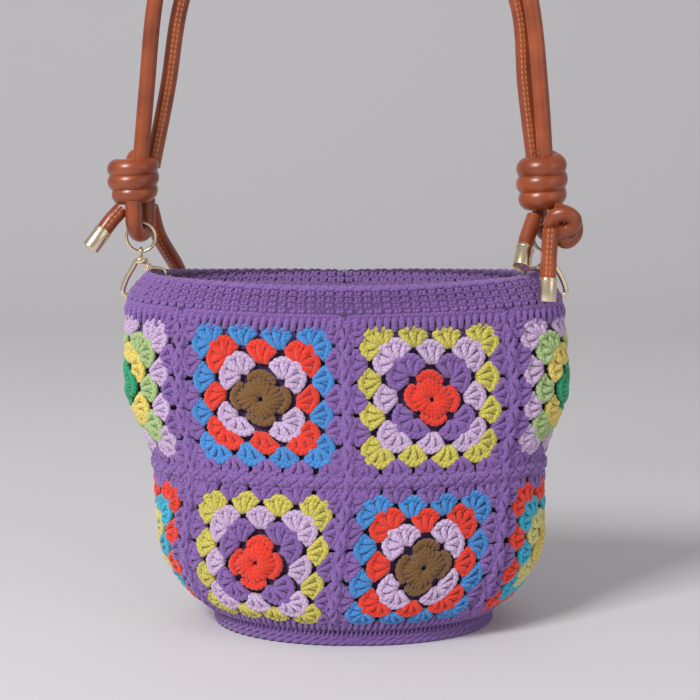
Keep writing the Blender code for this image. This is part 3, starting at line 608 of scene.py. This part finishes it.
# Painted shade: the band behind the stitches is darkened to 0.6 of the yarn's purple.
core_painted_shade = np.tile(PURPLE * 0.60, (len(core_flat), 1))
core_batch = (around_bag(core_flat), core_quads, core_uvs, core_painted_shade)
rim_core = worked_piece("rim_core", [core_batch])
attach(rim_core, "bag")


# Base
# An oval of crochet rounds that the bag stands on, with two chains round its edge.
# Short upright stitches climb from them to the lowest squares.

FOOT_HALF_WIDTH, FOOT_HALF_DEPTH = WALL_SHAPE[0, 1], WALL_SHAPE[0, 2]
BASE_STITCHES = 84


CHAIN_OUT = 0.0009
CHAIN_RISE = 0.0007
FOOT_ROW = int(np.argmin(np.abs(TABLE_RISES)))


def oval_piece(name, flat_paths, radius, sides):
    """Purple strands laid along the base's edge, out from it, and up, wound onto the oval."""
    points, quads, uvs = yarn_tubes(flat_paths, radius, sides)
    angle = np.interp(np.mod(points[:, 0], 1.0), TABLE_TURNS, TURN_ANGLES[FOOT_ROW])
    half_width = FOOT_HALF_WIDTH + points[:, 1]
    half_depth = FOOT_HALF_DEPTH + points[:, 1]
    bent = np.stack(
        [half_width * np.sin(angle), -half_depth * np.cos(angle), points[:, 2]], axis=1
    )
    piece = worked_piece(name, [(bent, quads, uvs, np.tile(PURPLE, (len(points), 1)))])
    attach(piece, "bag")


def oval_chain(height, swing):
    """Two strands that wind round the oval at a height, a little out from its edge."""
    t = np.linspace(0.0, 1.0, 6 * BASE_STITCHES + 1)
    strands = []
    for half in (0.0, math.pi):
        wave = half + math.pi * BASE_STITCHES * t
        out, up = CHAIN_OUT + swing * np.cos(wave), height + CHAIN_RISE * np.sin(wave)
        strands.append(np.stack([t, out, up], axis=1))
    return strands


oval_piece("base_edge_chain", oval_chain(0.0019, 0.0006), 0.00115, 6)
oval_piece("base_upper_chain", oval_chain(0.0044, 0.0005), 0.00100, 6)
t = np.linspace(0.0, 1.0, 6)
climbing = []
for index in range(2 * BASE_STITCHES):
    middle = (index + 0.5) / (2 * BASE_STITCHES)
    climbing.append(np.stack([middle + 0.0012 * t, 0.0012 + 0.0006 * t, 0.0048 + 0.0042 * t], axis=1))
oval_piece("base_upright_stitches", climbing, 0.00105, 5)


def add_relief(material, kind, scale, output, strength, distance):
    """Fine relief on a material, from a texture on Object coordinates."""
    nodes, links = material.node_tree.nodes, material.node_tree.links
    place = nodes.new("ShaderNodeTexCoord")
    texture = nodes.new(kind)
    texture.inputs["Scale"].default_value = scale
    links.new(place.outputs["Object"], texture.inputs["Vector"])
    bump = nodes.new("ShaderNodeBump")
    bump.inputs["Strength"].default_value = strength
    bump.inputs["Distance"].default_value = distance
    links.new(texture.outputs[output], bump.inputs["Height"])
    links.new(bump.outputs["Normal"], nodes["Principled BSDF"].inputs["Normal"])
    return bump


plain_crochet, _, _, base_shader = new_finish("base_crochet")
base_shader.inputs["Base Color"].default_value = (*(PURPLE * 0.8), 1.0)
base_shader.inputs["Roughness"].default_value = 0.9
add_relief(plain_crochet, "ShaderNodeTexVoronoi", 260, "Distance", 0.8, 0.0012).invert = True


def paint(node, material):
    """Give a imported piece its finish."""
    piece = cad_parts[node]
    piece.data.materials.clear()
    piece.data.materials.append(material)


paint("base_panel", plain_crochet)


# Lining
# A plain woven cup of cream cotton, sewn inside the rim some way below its edge.

CUP_STEPS = 96
CLOTH = 0.0009
LINING_TOP = RIM_FOOT + 0.0030
LINING_DEPTH = 0.0070
LINING_FLOOR = 0.0048

lining_cloth, _, _, cloth_shader = new_finish("cream_cotton_lining")
cloth_shader.inputs["Base Color"].default_value = (0.80, 0.71, 0.58, 1.0)
cloth_shader.inputs["Roughness"].default_value = 0.85
add_relief(lining_cloth, "ShaderNodeTexNoise", 900, "Fac", 0.3, 0.0003)


def cup_ring(rise, depth):
    """A closed ring of places inside the wall."""
    turns = np.arange(CUP_STEPS) / CUP_STEPS
    return on_wall(turns, np.full(CUP_STEPS, rise), np.full(CUP_STEPS, depth))


def stand_in(piece, body, node):
    """A piece rides on a body in place of a packed one, which is hidden."""
    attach(piece, body)
    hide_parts(node)


cup_rises = np.linspace(0.0020, LINING_TOP, 24)
rings = [cup_ring(rise, LINING_DEPTH) for rise in cup_rises]
rings.append(cup_ring(LINING_TOP + 0.0006, LINING_DEPTH + 0.0004))
rings += [cup_ring(rise, LINING_DEPTH + CLOTH) for rise in cup_rises[::-1]]
cup_floor = np.array([rings[0][:, 0].mean(), 0.0, LINING_FLOOR])
for share in (0.8, 0.4, 0.02):
    rings.insert(0, cup_floor + (rings[0] - cup_floor) * share * np.array([1.0, 1.0, 0.0]))
    rings.append(cup_floor + [0, 0, 0.0008] + (rings[-1] - cup_floor) * share * np.array([1.0, 1.0, 0.0]))
cup_points = np.concatenate(rings)
cup_number = np.arange(len(cup_points)).reshape(len(rings), CUP_STEPS)
cup_next = np.roll(cup_number, -1, axis=1)
cup_quads = np.stack(
    [cup_number[:-1], cup_next[:-1], cup_next[1:], cup_number[1:]], axis=-1
).reshape(-1, 4)
cup_mesh = bpy.data.meshes.new("sewn_lining")
cup_faces = cup_quads.tolist() + [cup_number[0, ::-1].tolist(), cup_number[-1].tolist()]
cup_mesh.from_pydata(cup_points.tolist(), [], cup_faces)
cup_mesh.materials.append(lining_cloth)
cup_mesh.shade_smooth()
cup = new_object("sewn_lining", cup_mesh)
stand_in(cup, "bag", "lining")


# Snap hooks, rings and swivels
# Pale gold plated castings: a hook of bent wire with a sprung gate on a rivet, a collar,
# and an eye that turns in it and carries a plain wire ring.

gold, _, _, gold_shader = new_finish("pale_gold_plate")
gold_shader.inputs["Base Color"].default_value = (0.86, 0.72, 0.50, 1.0)
gold_shader.inputs["Metallic"].default_value = 1.0
gold_shader.inputs["Roughness"].default_value = 0.22

COLLAR_HEIGHT = 0.0026
COLLAR_RADIUS = 0.0034
HOOK_TOP = 0.0190
HOOK_TOP_SHIFT = 0.0043
HOOK_WIRE = 0.0014
NOSE_SHIFT = 0.0180
PIVOT_SHIFT = 0.0036
PIVOT_DROP = 0.0046
CHEEK_RADIUS = 0.0020
CHEEK_INSIDE = 0.0011
CHEEK_OUTSIDE = 0.0020
ARM_WIRE = 0.0008
RIVET_HALF = 0.0025
RIVET_RADIUS = 0.0010
GATE_WIRE = 0.0011
BARREL_RADIUS = 0.0014
SHANK_RADIUS = 0.0009
RING_RADIUS = 0.0072
RING_WIRE = 0.00085
EYE_RADIUS = 0.0021
EYE_WIRE = 0.0007
PACKED_EYE_WIRE = 0.00065
EYE_GAP = 0.0003
COLLAR_LOW = HOOK_TOP - COLLAR_HEIGHT
RING_STEPS = 48
INWARD = {"left": 1, "right": -1}
WALL_MIDDLES = {}
RING_CENTRES = {}
for side in ("left", "right"):
    low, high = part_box(side + "_ring")
    RING_CENTRES[side] = (Vector(low) + Vector(high)) / 2
    low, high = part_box(side + "_swivel")
    top_height = high[2] - 2 * (EYE_RADIUS + PACKED_EYE_WIRE) - EYE_GAP
    collar_top = Vector(((low[0] + high[0]) / 2, 0.0, top_height))
    WALL_MIDDLES[side] = collar_top + Vector((-INWARD[side] * HOOK_TOP_SHIFT, 0.0, -HOOK_TOP))


def hook_place(side, inward, depth, up):
    """A place by a hook, from where its wire passes through the wall towards the bag's middle."""
    return WALL_MIDDLES[side] + Vector((INWARD[side] * inward, depth, up))


def smooth_route(route, pitch):
    """Points at an even pitch along a smooth curve through a route."""
    route = [Vector(place) for place in route]
    ends = [2 * route[0] - route[1], *route, 2 * route[-1] - route[-2]]
    fine = []
    for index in range(1, len(ends) - 2):
        before, start, end, after = ends[index - 1 : index + 3]
        for step in range(16):
            t = step / 16
            fine.append(
                0.5
                * (
                    2 * start
                    + (end - before) * t
                    + (2 * before - 5 * start + 4 * end - after) * t**2
                    + (3 * start - before - 3 * end + after) * t**3
                )
            )
    fine.append(route[-1])
    fine = np.array([list(place) for place in fine])
    lengths = np.concatenate([[0.0], np.cumsum(np.linalg.norm(np.diff(fine, axis=0), axis=1))])
    wanted = np.linspace(0.0, lengths[-1], max(3, round(lengths[-1] / pitch) + 1))
    return np.stack([np.interp(wanted, lengths, fine[:, axis]) for axis in range(3)], axis=1)


def round_bar(name, points, radius, material, sides, closed=False):
    """A round bar along points, with a UV that runs round it and along it in metres."""
    points = np.asarray(points, dtype=float)
    steps = len(points)
    if closed:
        ahead, behind = np.roll(points, -1, axis=0), np.roll(points, 1, axis=0)
        along = ahead - behind
    else:
        along = np.gradient(points, axis=0)
    along /= np.linalg.norm(along, axis=1, keepdims=True)
    lay = np.zeros((steps, 3))
    reference = np.cross(along[0], [0.0, 1.0, 0.0])
    if np.linalg.norm(reference) < 0.2:
        reference = np.cross(along[0], [1.0, 0.0, 0.0])
    for step in range(steps):
        reference = reference - along[step] * reference.dot(along[step])
        reference /= np.linalg.norm(reference)
        lay[step] = reference
    over = np.cross(along, lay)
    turn = 2 * math.pi * np.arange(sides) / sides
    ring = np.cos(turn)[None, :, None] * lay[:, None] + np.sin(turn)[None, :, None] * over[:, None]
    verts = (points[:, None] + ring * radius).reshape(-1, 3)
    number = np.arange(steps * sides).reshape(steps, sides)
    rows = np.concatenate([number, number[:1]]) if closed else number
    following = np.roll(rows, -1, axis=1)
    quads = np.stack([rows[:-1], following[:-1], following[1:], rows[1:]], axis=-1).reshape(-1, 4)
    length = np.concatenate([[0.0], np.cumsum(np.linalg.norm(np.diff(points, axis=0), axis=1))])
    if closed:
        length = np.append(length, length[-1] + np.linalg.norm(points[0] - points[-1]))
    spans = len(rows) - 1
    left = np.tile(np.arange(sides) / sides, (spans, 1))
    low = np.repeat(length[:-1, None], sides, axis=1)
    high = np.repeat(length[1:, None], sides, axis=1)
    right = left + 1 / sides
    uvs = corner_uvs(left, right, low, high)
    faces = quads.tolist()
    if not closed:
        faces += [number[0, ::-1].tolist(), number[-1].tolist()]
        uvs = np.concatenate([uvs, np.zeros((2 * sides, 2))])
    mesh = bpy.data.meshes.new(name)
    mesh.from_pydata(verts.tolist(), [], faces)
    mesh.uv_layers.new(name="length").data.foreach_set("uv", uvs.ravel())
    mesh.materials.append(material)
    mesh.shade_smooth()
    mesh.set_sharp_from_angle(angle=math.radians(60))
    return new_object(name, mesh)


def merged(name, pieces):
    """Several pieces as one object."""
    bpy.ops.object.select_all(action="DESELECT")
    for piece in pieces:
        piece.select_set(True)
    bpy.context.view_layer.objects.active = pieces[0]
    bpy.ops.object.join()
    piece = bpy.context.object
    piece.name = name
    piece.select_set(False)
    return piece


def turned_solid(name, start, end, radius, material, bevel, vertices=32):
    """A round solid between two points with softened edges, its place in its mesh."""
    start, end = Vector(start), Vector(end)
    bpy.ops.mesh.primitive_cylinder_add(vertices=vertices, radius=radius, depth=(end - start).length)
    piece = bpy.context.object
    piece.name = name
    edge = piece.modifiers.new("soft_edge", "BEVEL")
    edge.width = bevel
    edge.segments = 3
    edge.limit_method = "ANGLE"
    bpy.ops.object.modifier_apply(modifier=edge.name)
    turn = (end - start).to_track_quat("Z", "Y").to_matrix().to_4x4()
    piece.data.transform(Matrix.Translation((start + end) / 2) @ turn)
    piece.data.materials.append(material)
    piece.data.shade_smooth()
    piece.data.set_sharp_from_angle(angle=math.radians(40))
    piece.select_set(False)
    return piece


def wire_ring(name, centre, normal, radius, wire):
    """A plain ring of round gold wire."""
    turn = Vector(normal).to_track_quat("Z", "Y")
    points = []
    for step in range(RING_STEPS):
        angle = 2 * math.pi * step / RING_STEPS
        local = Vector((radius * math.cos(angle), radius * math.sin(angle), 0.0))
        points.append(Vector(centre) + turn @ local)
    return round_bar(name, points, wire, gold, 10, closed=True)


# Places inward and up along the middle of a hook's wire, from its collar round to its nose
WIRE_ROUTE = (
    (HOOK_TOP_SHIFT - 0.0026, COLLAR_LOW + 0.0012),
    (HOOK_TOP_SHIFT - 0.0040, COLLAR_LOW - 0.0018),
    (-0.0030, 0.0090),
    (-0.0052, 0.0028),
    (-0.0038, 0.0004),
    (0.0, 0.0),
    (0.0066, 0.0002),
    (0.0125, 0.0020),
    (NOSE_SHIFT, 0.0060),
    (NOSE_SHIFT, 0.0105),
)
for side in ("left", "right"):
    wire_route = [hook_place(side, inward, 0, up) for inward, up in WIRE_ROUTE]
    wire = round_bar(side + "_hook_wire", smooth_route(wire_route, 0.0007), HOOK_WIRE, gold, 12)
    collar_foot = hook_place(side, HOOK_TOP_SHIFT, 0, COLLAR_LOW)
    collar_head = hook_place(side, HOOK_TOP_SHIFT, 0, HOOK_TOP)
    collar = turned_solid(side + "_collar", collar_foot, collar_head, COLLAR_RADIUS, gold, 0.0006)
    pivot = hook_place(side, HOOK_TOP_SHIFT + PIVOT_SHIFT, 0, HOOK_TOP - PIVOT_DROP)
    cheeks = []
    for way in (-1, 1):
        cheek_start = pivot + Vector((0, way * CHEEK_INSIDE, 0))
        cheek_end = pivot + Vector((0, way * CHEEK_OUTSIDE, 0))
        cheeks.append(turned_solid(f"{side}_cheek", cheek_start, cheek_end, CHEEK_RADIUS, gold, 0.0002))
        arm_end = hook_place(side, HOOK_TOP_SHIFT, way * 0.0014, COLLAR_LOW + 0.0008)
        arm_route = [pivot + Vector((0, way * 0.00155, 0)), arm_end]
        cheeks.append(round_bar(f"{side}_arm", smooth_route(arm_route, 0.001), ARM_WIRE, gold, 10))
    hook = merged(side + "_snap_hook", [wire, collar, *cheeks])
    stand_in(hook, "strap", side + "_hook")

    reach = Vector((0, RIVET_HALF, 0))
    rivet = turned_solid(side + "_rivet_head", pivot - reach, pivot + reach, RIVET_RADIUS, gold, 0.0003)
    stand_in(rivet, "strap", side + "_rivet")

    gate_route = [
        pivot + Vector((INWARD[side] * 0.0006, 0, -0.0002)),
        hook_place(side, NOSE_SHIFT - 0.0027, 0.0002, 0.0130),
        hook_place(side, NOSE_SHIFT - 0.0023, 0.0002, 0.0088),
    ]
    gate = round_bar(side + "_gate_bar", smooth_route(gate_route, 0.0008), GATE_WIRE, gold, 12)
    barrel_start, barrel_end = pivot + Vector((0, -0.0007, 0)), pivot + Vector((0, 0.0009, 0))
    barrel = turned_solid(side + "_gate_barrel", barrel_start, barrel_end, BARREL_RADIUS, gold, 0.0002)
    gate = merged(side + "_sprung_gate", [gate, barrel])
    stand_in(gate, side + "_gate_body", side + "_gate")

    ring = wire_ring(side + "_wire_ring", RING_CENTRES[side], (0, 1, 0), RING_RADIUS, RING_WIRE)
    stand_in(ring, side + "_swivel_body", side + "_ring")
    eye_centre = RING_CENTRES[side] - Vector((0, 0, RING_RADIUS + 0.0002))
    eye = wire_ring(side + "_eye", eye_centre, (1, 0, 0), EYE_RADIUS, EYE_WIRE)
    shank_start = hook_place(side, HOOK_TOP_SHIFT, 0, HOOK_TOP - 0.003)
    shank_end = eye_centre - Vector((0, 0, 0.0019))
    shank = turned_solid(side + "_shank", shank_start, shank_end, SHANK_RADIUS, gold, 0.0001)
    eye = merged(side + "_swivel_eye", [eye, shank])
    stand_in(eye, side + "_swivel_body", side + "_swivel")
    paint(side + "_gate_spring", gold)


# Strap of leather cord
# Two round cords of waxed tan leather stand in an arch, wound three times round at each end
# into a knot. A bight under each knot holds the ring, and the loose ends run into gold caps.

CORD = 0.0040
KNOT_RADIUS = 0.0125
KNOT_TOP = 0.0410
KNOT_FEET = {"left": 0.0148, "right": 0.0108}
KNOT_SHIFT = -0.0033
WRAPS = 3
KNOT_STEPS = 150
CAP_LENGTH = 0.0115

# Stitches on a sewn cord: their pitch along it, and their places as shares of its girth
STITCH_PITCH = 0.0026
STITCH_SHARE = 0.62
LINES_MIDDLE = 0.27
LINES_APART = 0.036
LINE_HALF_WIDTH = 0.014


def leather(name, stitched):
    """Waxed tan leather with a slow mottle, and two lines of stitches along a sewn cord."""
    material, hide, joins, skin = new_finish(name)
    skin.inputs["Roughness"].default_value = 0.36
    skin.inputs["Coat Weight"].default_value = 0.45
    skin.inputs["Coat Roughness"].default_value = 0.25
    where = hide.new("ShaderNodeTexCoord")
    mottle = hide.new("ShaderNodeTexNoise")
    mottle.inputs["Scale"].default_value = 60
    mottle.inputs["Detail"].default_value = 5
    joins.new(where.outputs["Object"], mottle.inputs["Vector"])
    tone = hide.new("ShaderNodeValToRGB")
    tone.color_ramp.elements[0].position = 0.3
    tone.color_ramp.elements[0].color = (*linear(122, 48, 14), 1.0)
    tone.color_ramp.elements[1].position = 0.75
    tone.color_ramp.elements[1].color = (*linear(170, 80, 32), 1.0)
    joins.new(mottle.outputs["Fac"], tone.inputs["Fac"])
    add_relief(material, "ShaderNodeTexNoise", 1100, "Fac", 0.12, 0.0002)
    if not stitched:
        joins.new(tone.outputs["Color"], skin.inputs["Base Color"])
        return material
    length = hide.new("ShaderNodeUVMap")
    length.uv_map = "length"
    split = hide.new("ShaderNodeSeparateXYZ")
    joins.new(length.outputs["UV"], split.inputs[0])

    along = math_step(material, "MULTIPLY", split.outputs["Y"], 1 / STITCH_PITCH)
    in_stitch = math_step(material, "LESS_THAN", math_step(material, "FRACT", along), STITCH_SHARE)
    off_middle = math_step(material, "SUBTRACT", split.outputs["X"], LINES_MIDDLE)
    off_line = math_step(material, "SUBTRACT", math_step(material, "ABSOLUTE", off_middle), LINES_APART)
    in_line = math_step(material, "LESS_THAN", math_step(material, "ABSOLUTE", off_line), LINE_HALF_WIDTH)
    thread = math_step(material, "MULTIPLY", in_stitch, in_line)
    mix = hide.new("ShaderNodeMix")
    mix.data_type = "RGBA"
    joins.new(thread, mix.inputs["Factor"])
    joins.new(tone.outputs["Color"], mix.inputs["A"])
    mix.inputs["B"].default_value = (*linear(196, 118, 70), 1.0)
    joins.new(mix.outputs["Result"], skin.inputs["Base Color"])
    return material


plain_leather = leather("tan_leather_plain", False)
sewn_leather = leather("tan_leather_sewn", True)


def by_ring(side, across, depth, up):
    """A place by the centre of a ring."""
    return RING_CENTRES[side] + Vector((across, depth, up))


def leather_piece(name, node, points, radius, material):
    """A length of round leather cord in place of a packed one."""
    piece = round_bar(name, points, radius, material, 20)
    stand_in(piece, "strap", node)
    return piece


WRAP_LIFT = {"left": 0.0022, "right": 0.0034}


def wrap_radius(side):
    """The cord lies a little thicker where it is wound hard."""
    return (KNOT_TOP + WRAP_LIFT[side] - KNOT_FEET[side]) / (2 * WRAPS) * 1.06


def knot_points(side):
    """Three wraps round the strap, tilted a little, the lowest one tighter."""
    foot, top = KNOT_FEET[side], KNOT_TOP + WRAP_LIFT[side]
    wrap = wrap_radius(side)
    first = 1.9 if side == "left" else 1.2
    points = []
    for step in range(KNOT_STEPS + 1):
        share = step / KNOT_STEPS
        turns = 0.05 + 2.9 * share
        lowest = max(0.0, min(1.0, 3.2 * (0.36 - share)))
        reach = (KNOT_RADIUS + 0.0004 - wrap) * (1.0 - 0.20 * lowest)
        tuck = min(1.0, 9 * share + 0.3, 9 * (1 - share) + 0.3)
        angle = 2 * math.pi * turns + first
        level = foot + wrap + (top - foot - 2 * wrap) * share + 0.0009 * math.sin(angle - 0.6)
        away = (KNOT_SHIFT + reach * tuck * math.cos(angle), reach * tuck * math.sin(angle))
        points.append(by_ring(side, *away, level))
    return points


def ring_loop_points(side, turn_degrees):
    """The bight under a knot, which passes through the ring, turned a little about its upright."""
    drop, reach = 0.0015, 0.0080
    profile = [(-reach, KNOT_FEET[side] + 0.004), (-reach, KNOT_FEET[side] - 0.001)]
    for step in range(-12, 13):
        angle = math.radians(step * 7.5)
        profile.append((reach * math.sin(angle), drop + reach * (1 - math.cos(angle))))
    profile += [(reach, KNOT_FEET[side] - 0.001), (reach, KNOT_FEET[side] + 0.004)]
    turn = math.radians(turn_degrees)
    route = [by_ring(side, away * math.sin(turn), away * math.cos(turn), up) for away, up in profile]
    return smooth_route(route, 0.0012)


def cap_on(name, node, points):
    """A thin gold tube closed at its end, with a turned line near its mouth."""
    mouth = Vector(points[-1])
    direction = (mouth - Vector(points[-4])).normalized()
    far = mouth + direction * CAP_LENGTH
    tube = turned_solid(name, mouth - direction * 0.0003, far, CORD + 0.00045, gold, 0.0004, 40)
    band_start, band_end = mouth + direction * 0.0006, mouth + direction * 0.0014
    band = turned_solid(name + "_band", band_start, band_end, CORD + 0.00065, gold, 0.0002, 40)
    cap = merged(name, [tube, band])
    stand_in(cap, "strap", node)
    return cap


LOOSE_ENDS = {
    "left_front_tail": [
        (-0.0102, -0.0046, KNOT_FEET["left"] - 0.0019),
        (-0.0137, -0.0066, 0.0090),
        (-0.0174, -0.0084, 0.0040),
    ],
    "left_back_tail": [
        (0.0040, 0.0150, KNOT_FEET["left"] - 0.0025),
        (0.0070, 0.0205, -0.0010),
        (0.0138, 0.0325, -0.0160),
        (0.0171, 0.0380, -0.0255),
    ],
    "right_inner_tail": [
        (-0.0078, -0.0044, KNOT_FEET["right"] - 0.0019),
        (-0.0110, -0.0092, 0.0010),
        (-0.0124, -0.0126, -0.0040),
    ],
    "right_front_tail": [
        (-0.0012, -0.0228, 0.0039),
        (-0.0018, -0.0238, -0.0070),
        (-0.0022, -0.0248, -0.0180),
    ],
}
on_cords = {"left": [], "right": []}
for side, turn_degrees in (("left", 20), ("right", -25)):
    wound = leather_piece(
        side + "_wound_knot", side + "_knot", knot_points(side), wrap_radius(side), plain_leather
    )
    bight = leather_piece(
        side + "_bight", side + "_ring_loop", ring_loop_points(side, turn_degrees), CORD, plain_leather
    )
    on_cords[side] += [wound, bight]
for node, places in LOOSE_ENDS.items():
    side = node.split("_")[0]
    route = [by_ring(side, *place) for place in places]
    start = route[0] + (route[0] - route[1]).normalized() * 0.002
    points = smooth_route([start, *route], 0.001)
    finish = plain_leather if node == "right_inner_tail" else sewn_leather
    end = leather_piece(node + "_cord", node, points, CORD, finish)
    cap = cap_on(node + "_gold_cap", node + "_cap", points)
    on_cords[side] += [end, cap]
hitch_middle = by_ring("right", 0.0053, -0.0154, 0.0066)
hitch_route = [
    (-0.0040, 0.0050, 0.0080),
    (0.0048, 0.0040, 0.0048),
    (0.0066, 0.0010, -0.0030),
    (0.0022, -0.0010, -0.0072),
    (-0.0030, -0.0018, -0.0036),
    (-0.0058, -0.0034, 0.0010),
    (-0.0036, -0.0054, 0.0056),
    (0.0016, -0.0066, 0.0064),
    (0.0052, -0.0058, 0.0034),
    (0.0030, -0.0036, -0.0010),
    (-0.0030, -0.0040, -0.0030),
    (-0.0066, -0.0062, -0.0034),
]
hitch_points = smooth_route([hitch_middle + Vector(place) for place in hitch_route], 0.001)
hitch = leather_piece("right_hitch_loop", "right_hitch", hitch_points, CORD * 0.98, sewn_leather)
on_cords["right"].append(hitch)

INTO_KNOT = 0.006
OUTER_ARCH = [(0, 0), (0.020, 0.034), (0.042, 0.074), (0.090, 0.122), (0.215, 0.164), (0.50, 0.189)]
OUTER_ARCH += [(0.785, 0.164), (0.902, 0.122), (0.9595, 0.074), (0.984, 0.034), (1, 0)]
INNER_ARCH = [(0, 0), (0.044, 0.034), (0.080, 0.074), (0.155, 0.114), (0.300, 0.150), (0.50, 0.165)]
INNER_ARCH += [(0.700, 0.150), (0.855, 0.114), (0.9500, 0.074), (0.972, 0.034), (1, 0)]
for name, node, depth, left_across, right_across, arch, finish, side in (
    ("front_cord", "strap_cord_front", -0.0044, 0.0006, -0.0020, OUTER_ARCH, plain_leather, "left"),
    ("back_cord", "strap_cord_back", 0.0044, 0.0058, -0.0065, INNER_ARCH, sewn_leather, "right"),
):
    start = by_ring("left", left_across, depth, KNOT_TOP)
    end = by_ring("right", right_across, depth, KNOT_TOP)
    route = [start.lerp(end, share) + Vector((0, 0, rise)) for share, rise in arch]
    route[0].z -= INTO_KNOT
    route[-1].z -= INTO_KNOT
    points = smooth_route(route, 0.003)
    cord = leather_piece(name, node, points, CORD, finish)


# Studio
# A plain pale floor that curves up behind, a large soft lamp from the upper left, a weaker
# one from the right, and the camera where the photograph was taken from.

SWEEP_START = 1.2
SWEEP_RADIUS = 0.9
SWEEP_STEPS = 16
CAMERA_TILT = 0.138
LAMP_AIM = (0.0, 0.0, 0.12)

sweep = [(-4.0, 0.0), (SWEEP_START, 0.0)]
for step in range(1, SWEEP_STEPS + 1):
    bend = math.pi / 2 * step / SWEEP_STEPS
    across = SWEEP_START + SWEEP_RADIUS * math.sin(bend)
    sweep.append((across, SWEEP_RADIUS * (1 - math.cos(bend))))
sweep.append((SWEEP_START + SWEEP_RADIUS, 4.0))
floor_mesh = bpy.data.meshes.new("pale_floor")
floor_points = [(side, depth, height) for depth, height in sweep for side in (-5.0, 5.0)]
floor_faces = [(2 * n, 2 * n + 1, 2 * n + 3, 2 * n + 2) for n in range(len(sweep) - 1)]
floor_mesh.from_pydata(floor_points, [], floor_faces)
floor_mesh.shade_smooth()
floor = new_object("pale_floor", floor_mesh)
floor_paint, _, _, floor_shader = new_finish("pale_floor_paint")
floor_shader.inputs["Base Color"].default_value = (0.74, 0.72, 0.74, 1.0)
floor_shader.inputs["Roughness"].default_value = 0.9
floor.data.materials.append(floor_paint)

world = bpy.data.worlds.new("soft_room")
bpy.context.scene.world = world
world.use_nodes = True
room = world.node_tree.nodes["Background"]
room.inputs["Color"].default_value = (0.93, 0.92, 0.94, 1.0)
room.inputs["Strength"].default_value = 0.42


def soft_lamp(name, place, size, power):
    """A square lamp that faces the bag."""
    lamp = bpy.data.lights.new(name, "AREA")
    lamp.shape = "SQUARE"
    lamp.size = size
    lamp.energy = power
    holder = new_object(name, lamp)
    holder.location = place
    holder.rotation_euler = (Vector(LAMP_AIM) - Vector(place)).to_track_quat("-Z", "Y").to_euler()


soft_lamp("key_lamp", (-1.1, -1.3, 1.5), 0.7, 36.0)
soft_lamp("fill_lamp", (1.5, -1.4, 0.8), 1.2, 4.0)

camera_data = bpy.data.cameras.new("camera")
camera_data.lens = 95.7
camera_data.clip_start = 0.01
camera = new_object("camera", camera_data)
camera.location = (-0.0018, -0.930, 0.268)
camera.rotation_euler = (math.pi / 2 - CAMERA_TILT, 0.0, 0.0)
bpy.context.scene.camera = camera
bpy.context.scene.view_settings.view_transform = "Standard"
